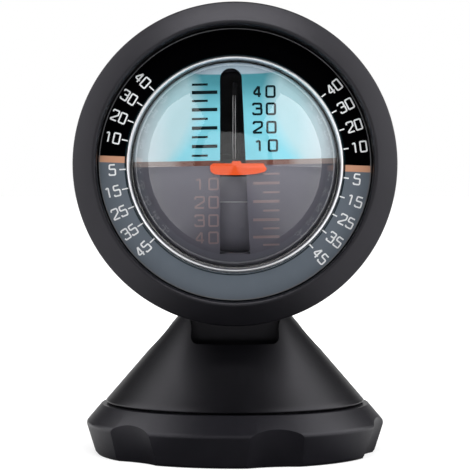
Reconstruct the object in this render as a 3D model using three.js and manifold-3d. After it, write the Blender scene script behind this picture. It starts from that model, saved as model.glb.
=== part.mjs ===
// A ball inclinometer on a swivelling foot, in millimetres, +Z up. It faces -Y. The origin is on the surface
// it stands on, under the axis of the foot. The ball hangs by its weights: it rolls about the head's own
// axis, and a pendulum inside it pitches about a cross axle and carries the pointer.
import * as THREE from "three";
import { mergeVertices } from "three/addons/utils/BufferGeometryUtils.js";
import Module from "manifold-3d";

const wasm = await Module();
wasm.setup();

// Clearances, and the overrun of a cutter past the face that it cuts
const runningGap = 0.3;
const fitGap = 0.3;
const cutOverrun = 1;

// Steps round a turned piece, and along an arc of an outline
const wideSteps = 48;
const ballSteps = 28;
const smallSteps = 12;
const arcSteps = 7;
const cornerSteps = 2;
const hexagon = 6;

// Foot: a pad that sticks to the surface, a base plate on it and a ring that clamps the cone to the plate
const padInset = 1.7;
const padThickness = 1.2;
const footClearance = 0.3;
const plateThickness = 3;
const postRadius = 5;
const postClearance = 0.3;
const postBoreFloor = 1.5;
const ringHeight = 11.5;
const ringCrestRadius = 34.2;
const ringShoulderWidth = 3.3;
const ringCrestHeight = 7.1;
const ringCrestRound = 1.2;
const ringUndercut = 2.1;
const ringWaistHeight = 1.1;
const ringFootChamfer = 0.9;
const ringFootWall = 2.3;
const ringLipThickness = 3;
const ringLipWidth = 3.6;
const scallopCount = 6;
const scallopDepth = 1.6;
const scallopRadius = 18.2;
const firstScallopDegrees = 16;
const swivelWasherInset = 0.9;
const swivelWasherWidth = 7;
const swivelWasherThickness = 0.7;

// Cone: a hollow shell whose slotted top holds the pivot bolt
const coneInset = 0.8;
const coneTopRadius = 11.4;
const coneTopHeight = 33.5;
const coneTopRound = 1;
const coneNeckWall = 3;
const coneShellWall = 3;
const flangeThickness = 3;
const cavityTopDepth = 12;
const slotHalfWidth = 9.9;
const slotDepth = 7.4;
const slotCornerRadius = 1.4;
const earWall = 2.5;
const wellClearance = 1.3;
const wellFloorThickness = 2.8;
const sleeveWall = 2.3;
const screwShankRadius = 1.9;
const screwHeadRadius = 3.4;
const screwHeadHeight = 1.9;
const screwHeadClearance = 0.7;
const screwSlotWidth = 0.9;
const screwSlotDepth = 0.9;
const screwWasherRadius = 4.6;
const screwWasherThickness = 0.7;

// Pivot: bolt and nut through the ears, with a friction washer on each side of the knuckle
const pivotDepth = 7;
const boltRadius = 1.75;
const boltHeadRadius = 3;
const boltHeadHeight = 1.8;
const boltSocketRadius = 1.4;
const boltSocketDepth = 1.1;
const nutCornerRadius = 3.2;
const nutThickness = 2;
const boltSeatWall = 2.3;
const frictionWasherRadius = 6.2;
const frictionWasherThickness = 0.7;
const knuckleRadius = 7;
const neckHalfDepth = 5.2;
const neckTopDepth = 16.8;

// Head: tilted back a little on its pivot, as it stands in use
const headTiltBackDegrees = 3.2;
const headOverhang = 10.8;
const headClearance = 2.82;
const bezelRadius = 36;
const bezelFaceWidth = 5.4;
const bezelFrontHeight = 4;
const bezelFaceDegrees = 24.5;
const bezelLipRound = 0.8;
const bezelRimRound = 0.5;
const bezelRearDepth = 5.5;
const bezelSocketDepth = 2;
const bezelSocketWall = 2.1;
const housingWall = 1.8;
const housingBackDegrees = 74;
const housingBackClearance = 1.35;
const housingBoreClearance = 0.9;
const dialThickness = 1;
const dialWidth = 5.7;
const carrierThickness = 2.2;
const carrierScrewCount = 4;
const carrierScrewInset = 2.6;
const carrierScrewRadius = 1.2;
const carrierScrewHeadRadius = 2;
const carrierScrewHeadHeight = 1.2;
const carrierScrewLength = 9;
const carrierCounterbore = 1.5;
const housingPostRadius = 2.4;

// Capsule: a clear dome in front and a cup behind, clamped together at their flanges and filled with liquid
const domeWall = 1;
const domeFlangeWidth = 2.25;
const domeFlangeThickness = 1.6;
const cupWall = 1.25;
const cupFlangeThickness = 1.6;
const sealOffset = 1.15;
const sealSectionRadius = 0.55;
const sealClearance = 0.2;
const sealStand = 0.2;
const trimRingWall = 0.9;
const trimRingStand = 0.7;
const trimRingGap = 0.45;
const plugOffset = 9;
const plugBossRadius = 2.9;
const plugBossHeight = 0.95;
const plugRadius = 1.3;
const plugHeadRadius = 2.3;
const plugHeadHeight = 1;
const shaftRadius = 1;
const shaftHeadRadius = 2.2;
const shaftHeadHeight = 1;
const shaftBossRadius = 3.5;
const shaftBossHeight = 2.15;

// Rotor: the printed ball, in two halves that join a little behind the cross axle
const rotorClearance = 1.35;
const rotorWall = 1.2;
const rotorSplitDepth = 3;
const rotorSlotLeft = 3.1;
const rotorSlotTopRight = 1.4;
const rotorSlotBottomRight = 3.1;
const rotorSlotTopDegrees = 71;
const rotorSlotBottomDegrees = 66;
const rotorHubRadius = 3.6;
const rotorHubLength = 3;
const bushWall = 0.8;
const rollWeightThickness = 1.8;
const rollWeightHeight = 8.6;
const rollWeightFront = 4;
const rollWeightBack = 12;
const axleRadius = 0.8;
const axleEndClearance = 0.8;
const axleBossRadius = 2.4;
const axleBossLength = 3.8;

// Pitch pendulum: a thin plate on the axle, weighted below, with the pointer bar in front of the ball
const plateHalfThickness = 0.45;
const plateSectorClearance = 1;
const plateSectorTopDegrees = 62;
const plateTongueHalfHeight = 0.9;
const plateHubRadius = 3.6;
const plateStemHalfDepth = 2;
const pitchBushHalfLength = 3.5;
const weightClearance = 0.5;
const weightHeight = 10;
const weightHalfThickness = 3;
const weightGrooveDepth = 3.6;
const weightSetBackDegrees = 2.3;
const shieldInset = 0.4;
const shieldThickness = 1;
const shieldDrop = 0.05;
const pointerLeft = 5.5;
const pointerRight = 7;
const pointerDrop = 0.95;
const pointerHalfHeight = 1.3;
const pointerEndRadius = 0.7;
const pointerThickness = 0.6;
const pointerTabHalfWidth = 1.1;
const pointerTabHeight = 0.5;

// Radii of the foot and the cone, from the ring's crest inwards
const ringTopRadius = ringCrestRadius - ringShoulderWidth;
const ringWaistRadius = ringCrestRadius - ringUndercut;
const ringFootRadius = ringWaistRadius - ringFootChamfer;
const plateRadius = ringFootRadius - ringFootWall;
const padRadius = plateRadius - padInset;
const swivelWasherOuterRadius = plateRadius - swivelWasherInset;
const swivelWasherInnerRadius = swivelWasherOuterRadius - swivelWasherWidth;
const coneBaseRadius = ringTopRadius - coneInset;
const coneNeckRadius = ringTopRadius - ringLipWidth;
const wellHalfDepth = knuckleRadius + wellClearance;

// Heights from the surface up
const pivotHeight = coneTopHeight - pivotDepth;
const slotFloorHeight = coneTopHeight - slotDepth;
const cavityTopHeight = coneTopHeight - cavityTopDepth;
const screwStackHeight = screwWasherThickness + screwHeadHeight + screwHeadClearance;
const wellFloorHeight = pivotHeight - knuckleRadius - screwStackHeight;
const plateTop = padThickness + plateThickness;
const washerTop = plateTop + swivelWasherThickness;
const flangeBottom = washerTop + runningGap;
const flangeTop = flangeBottom + flangeThickness;
const lipBottom = flangeTop + runningGap;
const ringLipHeight = Math.max(lipBottom, ringHeight - ringLipThickness);
const seamHeight = ringHeight + runningGap;
const ringBoreRadius = plateRadius + runningGap;
const ringLipBoreRadius = coneNeckRadius + runningGap;
const wellCeiling = wellFloorHeight - wellFloorThickness;
const postTop = wellCeiling - postClearance;
const screwHoleRadius = screwShankRadius + fitGap;
const screwWasherTop = wellFloorHeight + screwWasherThickness;
const postBoreBottom = plateTop + postBoreFloor;
const screwLength = screwWasherTop - postBoreBottom - fitGap;
const knuckleHalfWidth = slotHalfWidth - frictionWasherThickness - runningGap;
const boltSeat = slotHalfWidth + boltSeatWall;
const boltHoleRadius = boltRadius + fitGap;

// The dial's place over the pivot
const dialRise = bezelRadius + headClearance;
const dialForward = coneTopRadius + headOverhang;
const neckHeight = dialRise - neckTopDepth;

// Depths in the head, forward of the dial's face
const dialBack = -dialThickness;
const carrierBack = dialBack - carrierThickness;
const flangeFront = carrierBack - fitGap;
const ballDepth = -flangeFront;
const domeFlangeBack = flangeFront - domeFlangeThickness;
const cupFlangeFront = domeFlangeBack - fitGap;
const cupFlangeBack = cupFlangeFront - cupFlangeThickness;
const housingPostTop = cupFlangeBack - fitGap;
const housingFront = -bezelRearDepth - fitGap;

// Radii in the head, from the bezel inwards
const bezelInnerRadius = bezelRadius - bezelFaceWidth;
const dialOuterRadius = bezelInnerRadius - fitGap;
const dialInnerRadius = dialOuterRadius - dialWidth;
const carrierScrewCircle = bezelInnerRadius - carrierScrewInset;
const trimRingOuterRadius = dialInnerRadius - trimRingGap;
const trimRingInnerRadius = trimRingOuterRadius - trimRingWall;
const domeRadius = trimRingInnerRadius - fitGap;
const domeFlangeRadius = domeRadius + domeFlangeWidth;
const sealRadius = domeRadius + sealOffset;
const sealGrooveDepth = 2 * sealSectionRadius + sealClearance - sealStand;
const housingSpigotRadius = bezelRadius - bezelSocketWall - fitGap;
const housingBoreRadius = dialOuterRadius + housingBoreClearance;
const capsuleInnerRadius = domeRadius - domeWall;
const cupRadius = capsuleInnerRadius + cupWall;
const plugBossDepth = capsuleInnerRadius + plugBossHeight;
const shaftBossDepth = capsuleInnerRadius + shaftBossHeight;
const housingBack = -(ballDepth + shaftBossDepth + shaftHeadHeight + housingBackClearance + housingWall);
const rotorRadius = capsuleInnerRadius - rotorClearance;
const rotorInnerRadius = rotorRadius - rotorWall;
const rotorHubTip = rotorInnerRadius - rotorHubLength + rotorWall;
const shaftTip = rotorHubTip;
const bushRadius = shaftRadius + runningGap + bushWall;
const pitchBushRadius = axleRadius + runningGap + bushWall;
const axleHalfLength = rotorInnerRadius - axleEndClearance;
const rollWeightRadius = rotorInnerRadius - fitGap;
const rollWeightInnerRadius = rollWeightRadius - rollWeightThickness;
const rollWeightTop = rollWeightRadius - rollWeightHeight;
const weightRadius = rollWeightInnerRadius - weightClearance;
const weightTop = weightRadius - weightHeight;
const plateSectorRadius = rotorInnerRadius - plateSectorClearance;
const carrierScrewHoleRadius = carrierScrewRadius + fitGap;
const carrierScrewSeat = dialBack - carrierCounterbore;
const pointerInnerRadius = rotorRadius + (capsuleInnerRadius - rotorRadius - pointerThickness) / 2;
const pointerOuterRadius = pointerInnerRadius + pointerThickness;

const material = (color, roughness, metalness = 0) =>
  new THREE.MeshStandardMaterial({ color, roughness, metalness });
const blackPlastic = material(0x26282b, 0.55);
const ringPlastic = material(0x2b2e33, 0.5);
const innerPlastic = material(0x1b1c1e, 0.6);
const foam = material(0x3a3a3c, 0.95);
const clearPlastic = new THREE.MeshStandardMaterial({
  color: 0xeef4f6,
  roughness: 0.05,
  transparent: true,
  opacity: 0.25,
});
const chrome = material(0xd8dadc, 0.12, 1);
const steel = material(0xa9abad, 0.35, 1);
const brass = material(0xb08d4a, 0.35, 1);
const rubber = material(0x151515, 0.9);
const dialPrint = material(0x3a4046, 0.5);
const ballPrint = material(0x5fbccb, 0.4);
const ballRearPlastic = material(0x55535d, 0.45);
const armPlastic = material(0xc8cacc, 0.4);
const pointerOrange = material(0xff6e3c, 0.45);
const fibre = material(0x8a8377, 0.8);

const radians = THREE.MathUtils.degToRad;
const degrees = THREE.MathUtils.radToDeg;

// Points of an elliptic arc in an outline of [radius, height] pairs. Angles start at the outward radius.
function arc(radius, from, to, { steps = arcSteps, across = 0, along = 0, height = radius } = {}) {
  return Array.from({ length: steps + 1 }, (_, i) => {
    const angle = radians(from + ((to - from) * i) / steps);
    return [Math.max(0, across + radius * Math.cos(angle)), along + height * Math.sin(angle)];
  });
}

// An outline turned about the Y axis. It starts and ends on the axis, or closes on itself.
function turned(outline, steps) {
  const points = outline.map(([radius, height]) => new THREE.Vector2(radius, height));
  const closed = points[0].x > 0 || points.at(-1).x > 0 ? [...points, points[0]] : points;
  return new THREE.LatheGeometry(THREE.ShapeUtils.area(points) > 0 ? closed : closed.reverse(), steps);
}

const rod = (radius, from, to, steps = smallSteps) =>
  turned([[0, from], [radius, from], [radius, to], [0, to]], steps);
const tube = (inner, outer, from, to, steps = smallSteps) =>
  turned([[inner, from], [outer, from], [outer, to], [inner, to]], steps);

// The turning axis laid along +Z, along -Y to face forward, and along +X
const upright = (geometry) => geometry.rotateX(Math.PI / 2);
const facing = (geometry) => geometry.rotateX(Math.PI);
const crosswise = (geometry) => geometry.rotateZ(-Math.PI / 2);

function block(x0, x1, y0, y1, z0, z1) {
  const box = new THREE.BoxGeometry(x1 - x0, y1 - y0, z1 - z0);
  return box.translate((x0 + x1) / 2, (y0 + y1) / 2, (z0 + z1) / 2);
}

// A flat shape in X and Z, extruded from y0 to y1
function alongY(shape, y0, y1) {
  const slab = new THREE.ExtrudeGeometry(shape, {
    depth: y1 - y0,
    bevelEnabled: false,
    curveSegments: cornerSteps * 2,
  });
  return slab.rotateX(Math.PI / 2).translate(0, y1, 0);
}

// A flat shape in the forward direction and Z, extruded evenly to both sides of x = 0
function acrossX(shape, halfThickness) {
  const slab = new THREE.ExtrudeGeometry(shape, {
    depth: 2 * halfThickness,
    bevelEnabled: false,
    curveSegments: arcSteps * 2,
  });
  return slab.translate(0, 0, -halfThickness).rotateX(Math.PI / 2).rotateZ(-Math.PI / 2);
}

function solidOf(geometry) {
  const bare = geometry.clone();
  bare.deleteAttribute("normal");
  bare.deleteAttribute("uv");
  const merged = mergeVertices(bare);
  return new wasm.Manifold(
    new wasm.Mesh({
      numProp: 3,
      vertProperties: merged.attributes.position.array,
      triVerts: new Uint32Array(merged.index.array),
    }),
  );
}

function geometryOf(solid) {
  const { vertProperties, triVerts } = solid.getMesh();
  const geometry = new THREE.BufferGeometry();
  geometry.setAttribute("position", new THREE.BufferAttribute(vertProperties, 3));
  geometry.setIndex(new THREE.BufferAttribute(triVerts, 1));
  geometry.computeVertexNormals();
  return geometry;
}

const joined = (first, ...others) =>
  geometryOf(others.reduce((solid, other) => solid.add(solidOf(other)), solidOf(first)));
const cut = (first, ...cutters) =>
  geometryOf(cutters.reduce((solid, cutter) => solid.subtract(solidOf(cutter)), solidOf(first)));
const common = (first, ...others) =>
  geometryOf(others.reduce((solid, other) => solid.intersect(solidOf(other)), solidOf(first)));

const inclinometer = new THREE.Group();

function place(group, name, geometry, finish) {
  const mesh = new THREE.Mesh(geometry, finish);
  mesh.name = name;
  group.add(mesh);
}

const ball = (radius) => facing(turned(arc(radius, -90, 90, { steps: 2 * arcSteps }), ballSteps));

// Foot
function basePlate() {
  return upright(
    turned(
      [
        [0, padThickness],
        [padRadius + fitGap, padThickness],
        [padRadius + fitGap, footClearance],
        [plateRadius, footClearance],
        [plateRadius, plateTop],
        [postRadius, plateTop],
        [postRadius, postTop],
        [screwHoleRadius, postTop],
        [screwHoleRadius, postBoreBottom],
        [0, postBoreBottom],
      ],
      ballSteps,
    ),
  );
}

function lockRing() {
  const wallLean = degrees(Math.atan2(ringCrestRadius - ringWaistRadius, ringCrestHeight - ringWaistHeight));
  const shoulderLean = degrees(Math.atan2(ringCrestRadius - ringTopRadius, ringHeight - ringCrestHeight));
  const crest = arc(ringCrestRound, -wallLean, shoulderLean, {
    steps: cornerSteps,
    across: ringCrestRadius - ringCrestRound,
    along: ringCrestHeight,
  });
  const outline = [
    [ringBoreRadius, footClearance],
    [ringFootRadius, footClearance],
    [ringWaistRadius, ringWaistHeight],
    ...crest,
    [ringTopRadius, ringHeight],
    [ringLipBoreRadius, ringHeight],
    [ringLipBoreRadius, ringLipHeight],
    [ringBoreRadius, ringLipHeight],
  ];
  // Each scallop leans out with the wall and keeps most of its depth down to the foot
  const lean = radians(wallLean);
  const distance = ringCrestRadius - scallopDepth + scallopRadius / Math.cos(lean);
  const reach = ringHeight + cutOverrun;
  const scallops = Array.from({ length: scallopCount }, (_, i) => {
    const angle = radians(firstScallopDegrees) + (2 * Math.PI * i) / scallopCount;
    const cutter = upright(rod(scallopRadius, -reach, reach, wideSteps)).rotateX(lean);
    return cutter.translate(0, -distance, ringCrestHeight).rotateZ(angle);
  });
  return cut(upright(turned(outline, wideSteps)), ...scallops);
}

const foot = new THREE.Group();
inclinometer.add(foot);
place(foot, "adhesive_pad", upright(rod(padRadius, 0, padThickness, ballSteps)), foam);
place(foot, "base_plate", basePlate(), innerPlastic);
place(
  foot,
  "swivel_washer",
  upright(tube(swivelWasherInnerRadius, swivelWasherOuterRadius, plateTop, washerTop, ballSteps)),
  fibre,
);
place(foot, "lock_ring", lockRing(), ringPlastic);

// Cone
function coneRadiusAt(height) {
  const share = (height - seamHeight) / (coneTopHeight - seamHeight);
  return coneBaseRadius + (coneTopRadius - coneBaseRadius) * share;
}

function coneMount() {
  const sideLean = degrees(Math.atan2(coneBaseRadius - coneTopRadius, coneTopHeight - seamHeight));
  const outside = upright(
    turned(
      [
        [0, flangeBottom],
        [plateRadius, flangeBottom],
        [plateRadius, flangeTop],
        [coneNeckRadius, flangeTop],
        [coneNeckRadius, seamHeight],
        [coneBaseRadius, seamHeight],
        ...arc(coneTopRound, sideLean, 90, {
          steps: cornerSteps,
          across: coneTopRadius - coneTopRound,
          along: coneTopHeight - coneTopRound,
        }),
        [0, coneTopHeight],
      ],
      wideSteps,
    ),
  );
  const hollow = upright(
    turned(
      [
        [0, flangeBottom - cutOverrun],
        [coneNeckRadius - coneNeckWall, flangeBottom - cutOverrun],
        [coneNeckRadius - coneNeckWall, flangeTop],
        [coneRadiusAt(cavityTopHeight) - coneShellWall, cavityTopHeight],
        [0, cavityTopHeight],
      ],
      wideSteps,
    ),
  );
  const coreHalfWidth = slotHalfWidth + earWall;
  const reach = coneBaseRadius;
  const core = block(-coreHalfWidth, coreHalfWidth, -reach, reach, wellCeiling, coneTopHeight);
  const boreRadius = postRadius + runningGap;
  const sleeve = upright(rod(boreRadius + sleeveWall, flangeBottom, wellCeiling + cutOverrun));
  const postBore = upright(rod(boreRadius, flangeBottom - cutOverrun, wellCeiling));
  const screwHole = upright(rod(screwHoleRadius, wellCeiling - cutOverrun, wellFloorHeight + cutOverrun));
  const [halfWidth, halfDepth] = [slotHalfWidth, wellHalfDepth];
  const well = block(-halfWidth, halfWidth, -halfDepth, halfDepth, wellFloorHeight, coneTopHeight);
  const slot = new THREE.Shape();
  const cornerHeight = slotFloorHeight + slotCornerRadius;
  const cornerPlace = slotHalfWidth - slotCornerRadius;
  slot.moveTo(-slotHalfWidth, coneTopHeight + cutOverrun);
  slot.lineTo(-slotHalfWidth, cornerHeight);
  slot.absarc(-cornerPlace, cornerHeight, slotCornerRadius, Math.PI, 1.5 * Math.PI);
  slot.absarc(cornerPlace, cornerHeight, slotCornerRadius, 1.5 * Math.PI, 2 * Math.PI);
  slot.lineTo(slotHalfWidth, coneTopHeight + cutOverrun);
  const acrossCone = (radius, from, to) => crosswise(rod(radius, from, to)).translate(0, 0, pivotHeight);
  return cut(
    outside,
    cut(hollow, core, sleeve),
    postBore,
    screwHole,
    well,
    alongY(slot, -reach, reach),
    acrossCone(boltHoleRadius, -reach, reach),
    acrossCone(boltHeadRadius + fitGap, boltSeat, reach),
    acrossCone(nutCornerRadius + fitGap, -reach, -boltSeat),
  );
}

// A screw whose head sits at a height on its axis and whose shank points back from there
function screw(shankRadius, length, headRadius, headHeight, seat) {
  const body = turned(
    [
      [0, seat - length],
      [shankRadius, seat - length],
      [shankRadius, seat],
      [headRadius, seat],
      [headRadius, seat + headHeight],
      [0, seat + headHeight],
    ],
    smallSteps,
  );
  const top = seat + headHeight;
  const reach = headRadius + cutOverrun;
  const halfWidth = screwSlotWidth / 2;
  return cut(body, block(-reach, reach, top - screwSlotDepth, top + cutOverrun, -halfWidth, halfWidth));
}

function pivotBolt() {
  const end = -boltSeat - nutThickness;
  const head = boltSeat + boltHeadHeight;
  const body = turned(
    [
      [0, end],
      [boltRadius, end],
      [boltRadius, boltSeat],
      [boltHeadRadius, boltSeat],
      [boltHeadRadius, head],
      [0, head],
    ],
    smallSteps,
  );
  const socket = rod(boltSocketRadius, head - boltSocketDepth, head + cutOverrun, hexagon);
  return crosswise(cut(body, socket)).translate(0, 0, pivotHeight);
}

function pivotNut() {
  const hex = rod(nutCornerRadius, -boltSeat - nutThickness, -boltSeat, hexagon);
  const bore = rod(boltHoleRadius, -boltSeat - nutThickness - cutOverrun, cutOverrun - boltSeat);
  return crosswise(cut(hex, bore)).translate(0, 0, pivotHeight);
}

const swivel = new THREE.Group();
inclinometer.add(swivel);
place(swivel, "cone_mount", coneMount(), blackPlastic);
place(
  swivel,
  "swivel_screw",
  upright(screw(screwShankRadius, screwLength, screwHeadRadius, screwHeadHeight, screwWasherTop)),
  steel,
);
place(
  swivel,
  "swivel_screw_washer",
  upright(tube(screwHoleRadius, screwWasherRadius, wellFloorHeight, screwWasherTop)),
  steel,
);
place(swivel, "pivot_bolt", pivotBolt(), steel);
place(swivel, "pivot_nut", pivotNut(), steel);
for (const [side, sign] of [["left", -1], ["right", 1]]) {
  const inner = sign * (slotHalfWidth - frictionWasherThickness);
  const washer = tube(boltHoleRadius, frictionWasherRadius, inner, sign * slotHalfWidth);
  place(swivel, "friction_washer_" + side, crosswise(washer).translate(0, 0, pivotHeight), fibre);
}

// Head. Its group stands on the pivot, and face is the middle of the dial's front.
const head = new THREE.Group();
head.position.set(0, 0, pivotHeight);
head.rotation.x = -radians(headTiltBackDegrees);
inclinometer.add(head);
const face = new THREE.Group();
face.position.set(0, -dialForward, dialRise);
head.add(face);

// The places of the carrier's screws, as copies of a turned shape
function atCarrierScrews(make) {
  return Array.from({ length: carrierScrewCount }, (_, i) => {
    const angle = (2 * Math.PI * (i + 0.5)) / carrierScrewCount;
    const [x, z] = [carrierScrewCircle * Math.cos(angle), carrierScrewCircle * Math.sin(angle)];
    return facing(make()).translate(x, 0, z);
  });
}

function rearHousing() {
  const outerDepth = (housingFront - housingBack) / Math.sin(radians(housingBackDegrees));
  const outer = arc(bezelRadius, 0, -housingBackDegrees, { along: housingFront, height: outerDepth });
  const innerRadius = housingBoreRadius;
  const innerDepth = housingFront - housingBack - housingWall;
  const inner = arc(innerRadius, -90, 0, { along: housingFront, height: innerDepth });
  const spigotFront = bezelSocketDepth - bezelRearDepth - fitGap;
  const onHead = (geometry) => geometry.translate(0, -dialForward, dialRise);
  const shell = facing(
    turned(
      [
        [housingSpigotRadius, housingFront],
        ...outer,
        [0, housingBack],
        ...inner,
        [innerRadius, spigotFront],
        [housingSpigotRadius, spigotFront],
      ],
      wideSteps,
    ),
  );
  const hollow = facing(turned([...inner, [innerRadius, 0], [0, 0]], wideSteps));
  const postShare = (carrierScrewCircle - housingPostRadius) / innerRadius;
  const postBack = housingFront - innerDepth * Math.sqrt(1 - postShare ** 2);
  const posts = atCarrierScrews(() => rod(housingPostRadius, postBack, housingPostTop));
  const boreEnd = carrierScrewSeat - carrierScrewLength - fitGap;
  const postBores = atCarrierScrews(() => rod(carrierScrewHoleRadius, boreEnd, housingPostTop + cutOverrun));
  const neck = block(-knuckleHalfWidth, knuckleHalfWidth, -neckHalfDepth, neckHalfDepth, 0, neckHeight);
  const knuckle = crosswise(rod(knuckleRadius, -knuckleHalfWidth, knuckleHalfWidth, ballSteps));
  const pivotBore = crosswise(rod(boltHoleRadius, -slotHalfWidth, slotHalfWidth));
  const hollowedNeck = cut(joined(neck, knuckle), onHead(hollow));
  const withPosts = cut(joined(shell, ...posts), ...postBores);
  return cut(joined(onHead(withPosts), hollowedNeck), pivotBore);
}

function frontBezel() {
  const faceNormal = 90 - bezelFaceDegrees;
  const rise = Math.tan(radians(bezelFaceDegrees));
  const lip = arc(bezelLipRound, 180, faceNormal, {
    steps: 2 * cornerSteps,
    across: bezelInnerRadius + bezelLipRound,
    along: bezelFrontHeight - bezelLipRound,
  });
  const [lipRadius, lipHeight] = lip.at(-1);
  const rimCenter = bezelRadius - bezelRimRound;
  const rimTangentRadius = rimCenter + bezelRimRound * Math.cos(radians(faceNormal));
  const rimTangentHeight = lipHeight - (rimTangentRadius - lipRadius) * rise;
  const rim = arc(bezelRimRound, faceNormal, 0, {
    steps: cornerSteps,
    across: rimCenter,
    along: rimTangentHeight - bezelRimRound * Math.sin(radians(faceNormal)),
  });
  const socketRadius = bezelRadius - bezelSocketWall;
  const socketFloor = bezelSocketDepth - bezelRearDepth;
  return facing(
    turned(
      [
        [bezelInnerRadius, socketFloor],
        ...lip,
        ...rim,
        [bezelRadius, -bezelRearDepth],
        [socketRadius, -bezelRearDepth],
        [socketRadius, socketFloor],
      ],
      wideSteps,
    ),
  );
}

function capsuleCarrier() {
  const innerRadius = trimRingOuterRadius + fitGap;
  const ring = facing(
    turned(
      [
        [innerRadius, carrierBack],
        [innerRadius, dialBack],
        [dialOuterRadius, dialBack],
        [dialOuterRadius, domeFlangeBack],
        [domeFlangeRadius + fitGap, domeFlangeBack],
        [domeFlangeRadius + fitGap, carrierBack],
      ],
      wideSteps,
    ),
  );
  const holes = atCarrierScrews(() =>
    rod(carrierScrewHoleRadius, domeFlangeBack - cutOverrun, dialBack + cutOverrun),
  );
  const seats = atCarrierScrews(() =>
    rod(carrierScrewHeadRadius + fitGap, carrierScrewSeat, dialBack + cutOverrun),
  );
  return cut(ring, ...holes, ...seats);
}

function trimRing() {
  const round = trimRingWall / 2;
  const back = flangeFront + fitGap;
  const top = arc(round, 0, 180, {
    steps: 2 * cornerSteps,
    across: trimRingInnerRadius + round,
    along: trimRingStand - round,
  });
  return facing(turned([[trimRingInnerRadius, back], [trimRingOuterRadius, back], ...top], wideSteps));
}

place(head, "rear_housing", rearHousing(), blackPlastic);
place(face, "front_bezel", frontBezel(), blackPlastic);
place(face, "capsule_carrier", capsuleCarrier(), innerPlastic);
place(face, "dial_ring", facing(tube(dialInnerRadius, dialOuterRadius, dialBack, 0, wideSteps)), dialPrint);
place(face, "dome_trim_ring", trimRing(), chrome);
atCarrierScrews(() =>
  screw(
    carrierScrewRadius,
    carrierScrewLength,
    carrierScrewHeadRadius,
    carrierScrewHeadHeight,
    carrierScrewSeat,
  ),
).forEach((geometry, i) => place(face, "carrier_screw_" + (i + 1), geometry, steel));

// Capsule. Its group is the middle of the ball, behind the dial's front.
const capsule = new THREE.Group();
capsule.position.y = ballDepth;
face.add(capsule);

function clearDome() {
  return facing(
    turned(
      [
        ...arc(domeRadius, 90, 0),
        [domeFlangeRadius, 0],
        [domeFlangeRadius, -domeFlangeThickness],
        [capsuleInnerRadius, -domeFlangeThickness],
        ...arc(capsuleInnerRadius, 0, 90),
      ],
      ballSteps,
    ),
  );
}

// The latitude of a ball at which it has a given height on its axis
const latitude = (radius, height) => degrees(Math.asin(height / radius));

function capsuleCup() {
  const sealFace = cupFlangeFront + ballDepth;
  const cupBack = cupFlangeBack + ballDepth;
  const grooveHalfWidth = sealSectionRadius + fitGap;
  const grooveFloor = sealFace - sealGrooveDepth;
  const cup = facing(
    turned(
      [
        ...arc(capsuleInnerRadius, -90, latitude(capsuleInnerRadius, sealFace)),
        [sealRadius - grooveHalfWidth, sealFace],
        [sealRadius - grooveHalfWidth, grooveFloor],
        [sealRadius + grooveHalfWidth, grooveFloor],
        [sealRadius + grooveHalfWidth, sealFace],
        [dialOuterRadius, sealFace],
        [dialOuterRadius, cupBack],
        ...arc(cupRadius, latitude(cupRadius, cupBack), -90),
      ],
      ballSteps,
    ),
  );
  const atPlug = (radius, from, to) => facing(rod(radius, from, to)).translate(0, 0, plugOffset);
  const plugBoss = atPlug(plugBossRadius, -plugBossDepth, -capsuleInnerRadius / 2);
  const shaftBoss = facing(rod(shaftBossRadius, -shaftBossDepth, -capsuleInnerRadius));
  const inside = ball(capsuleInnerRadius);
  const plugBore = atPlug(plugRadius + fitGap, -plugBossDepth - cutOverrun, 0);
  const shaftBore = facing(rod(shaftRadius + fitGap, -shaftBossDepth - cutOverrun, 0));
  const screwHoles = atCarrierScrews(() =>
    rod(carrierScrewHoleRadius, cupBack - cutOverrun, sealFace + cutOverrun),
  );
  return cut(joined(cup, cut(joined(plugBoss, shaftBoss), inside)), plugBore, shaftBore, ...screwHoles);
}

function fillerPlug() {
  const seat = -plugBossDepth;
  const tip = -Math.sqrt(capsuleInnerRadius ** 2 - (plugOffset - plugRadius) ** 2);
  const outline = [
    [0, tip],
    [plugRadius, tip],
    [plugRadius, seat],
    [plugHeadRadius, seat],
    [plugHeadRadius, seat - plugHeadHeight],
    [0, seat - plugHeadHeight],
  ];
  return facing(turned(outline, smallSteps)).translate(0, 0, plugOffset);
}

function rollShaft() {
  const seat = -shaftBossDepth;
  return facing(
    turned(
      [
        [0, -shaftTip],
        [shaftRadius, -shaftTip],
        [shaftRadius, seat],
        [shaftHeadRadius, seat],
        [shaftHeadRadius, seat - shaftHeadHeight],
        [0, seat - shaftHeadHeight],
      ],
      smallSteps,
    ),
  );
}

function sealRing() {
  const middle = cupFlangeFront + ballDepth - sealGrooveDepth + sealClearance + sealSectionRadius;
  const section = arc(sealSectionRadius, 0, 360, {
    steps: 2 * cornerSteps,
    across: sealRadius,
    along: middle,
  });
  return facing(turned(section.slice(1), wideSteps));
}

place(capsule, "clear_dome", clearDome(), clearPlastic);
place(capsule, "seal_ring", sealRing(), rubber);
place(capsule, "capsule_cup", capsuleCup(), innerPlastic);
place(capsule, "filler_plug", fillerPlug(), brass);
place(capsule, "roll_shaft", rollShaft(), steel);

// Rotor. Its group turns on the roll shaft.
const rotor = new THREE.Group();
capsule.add(rotor);

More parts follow.
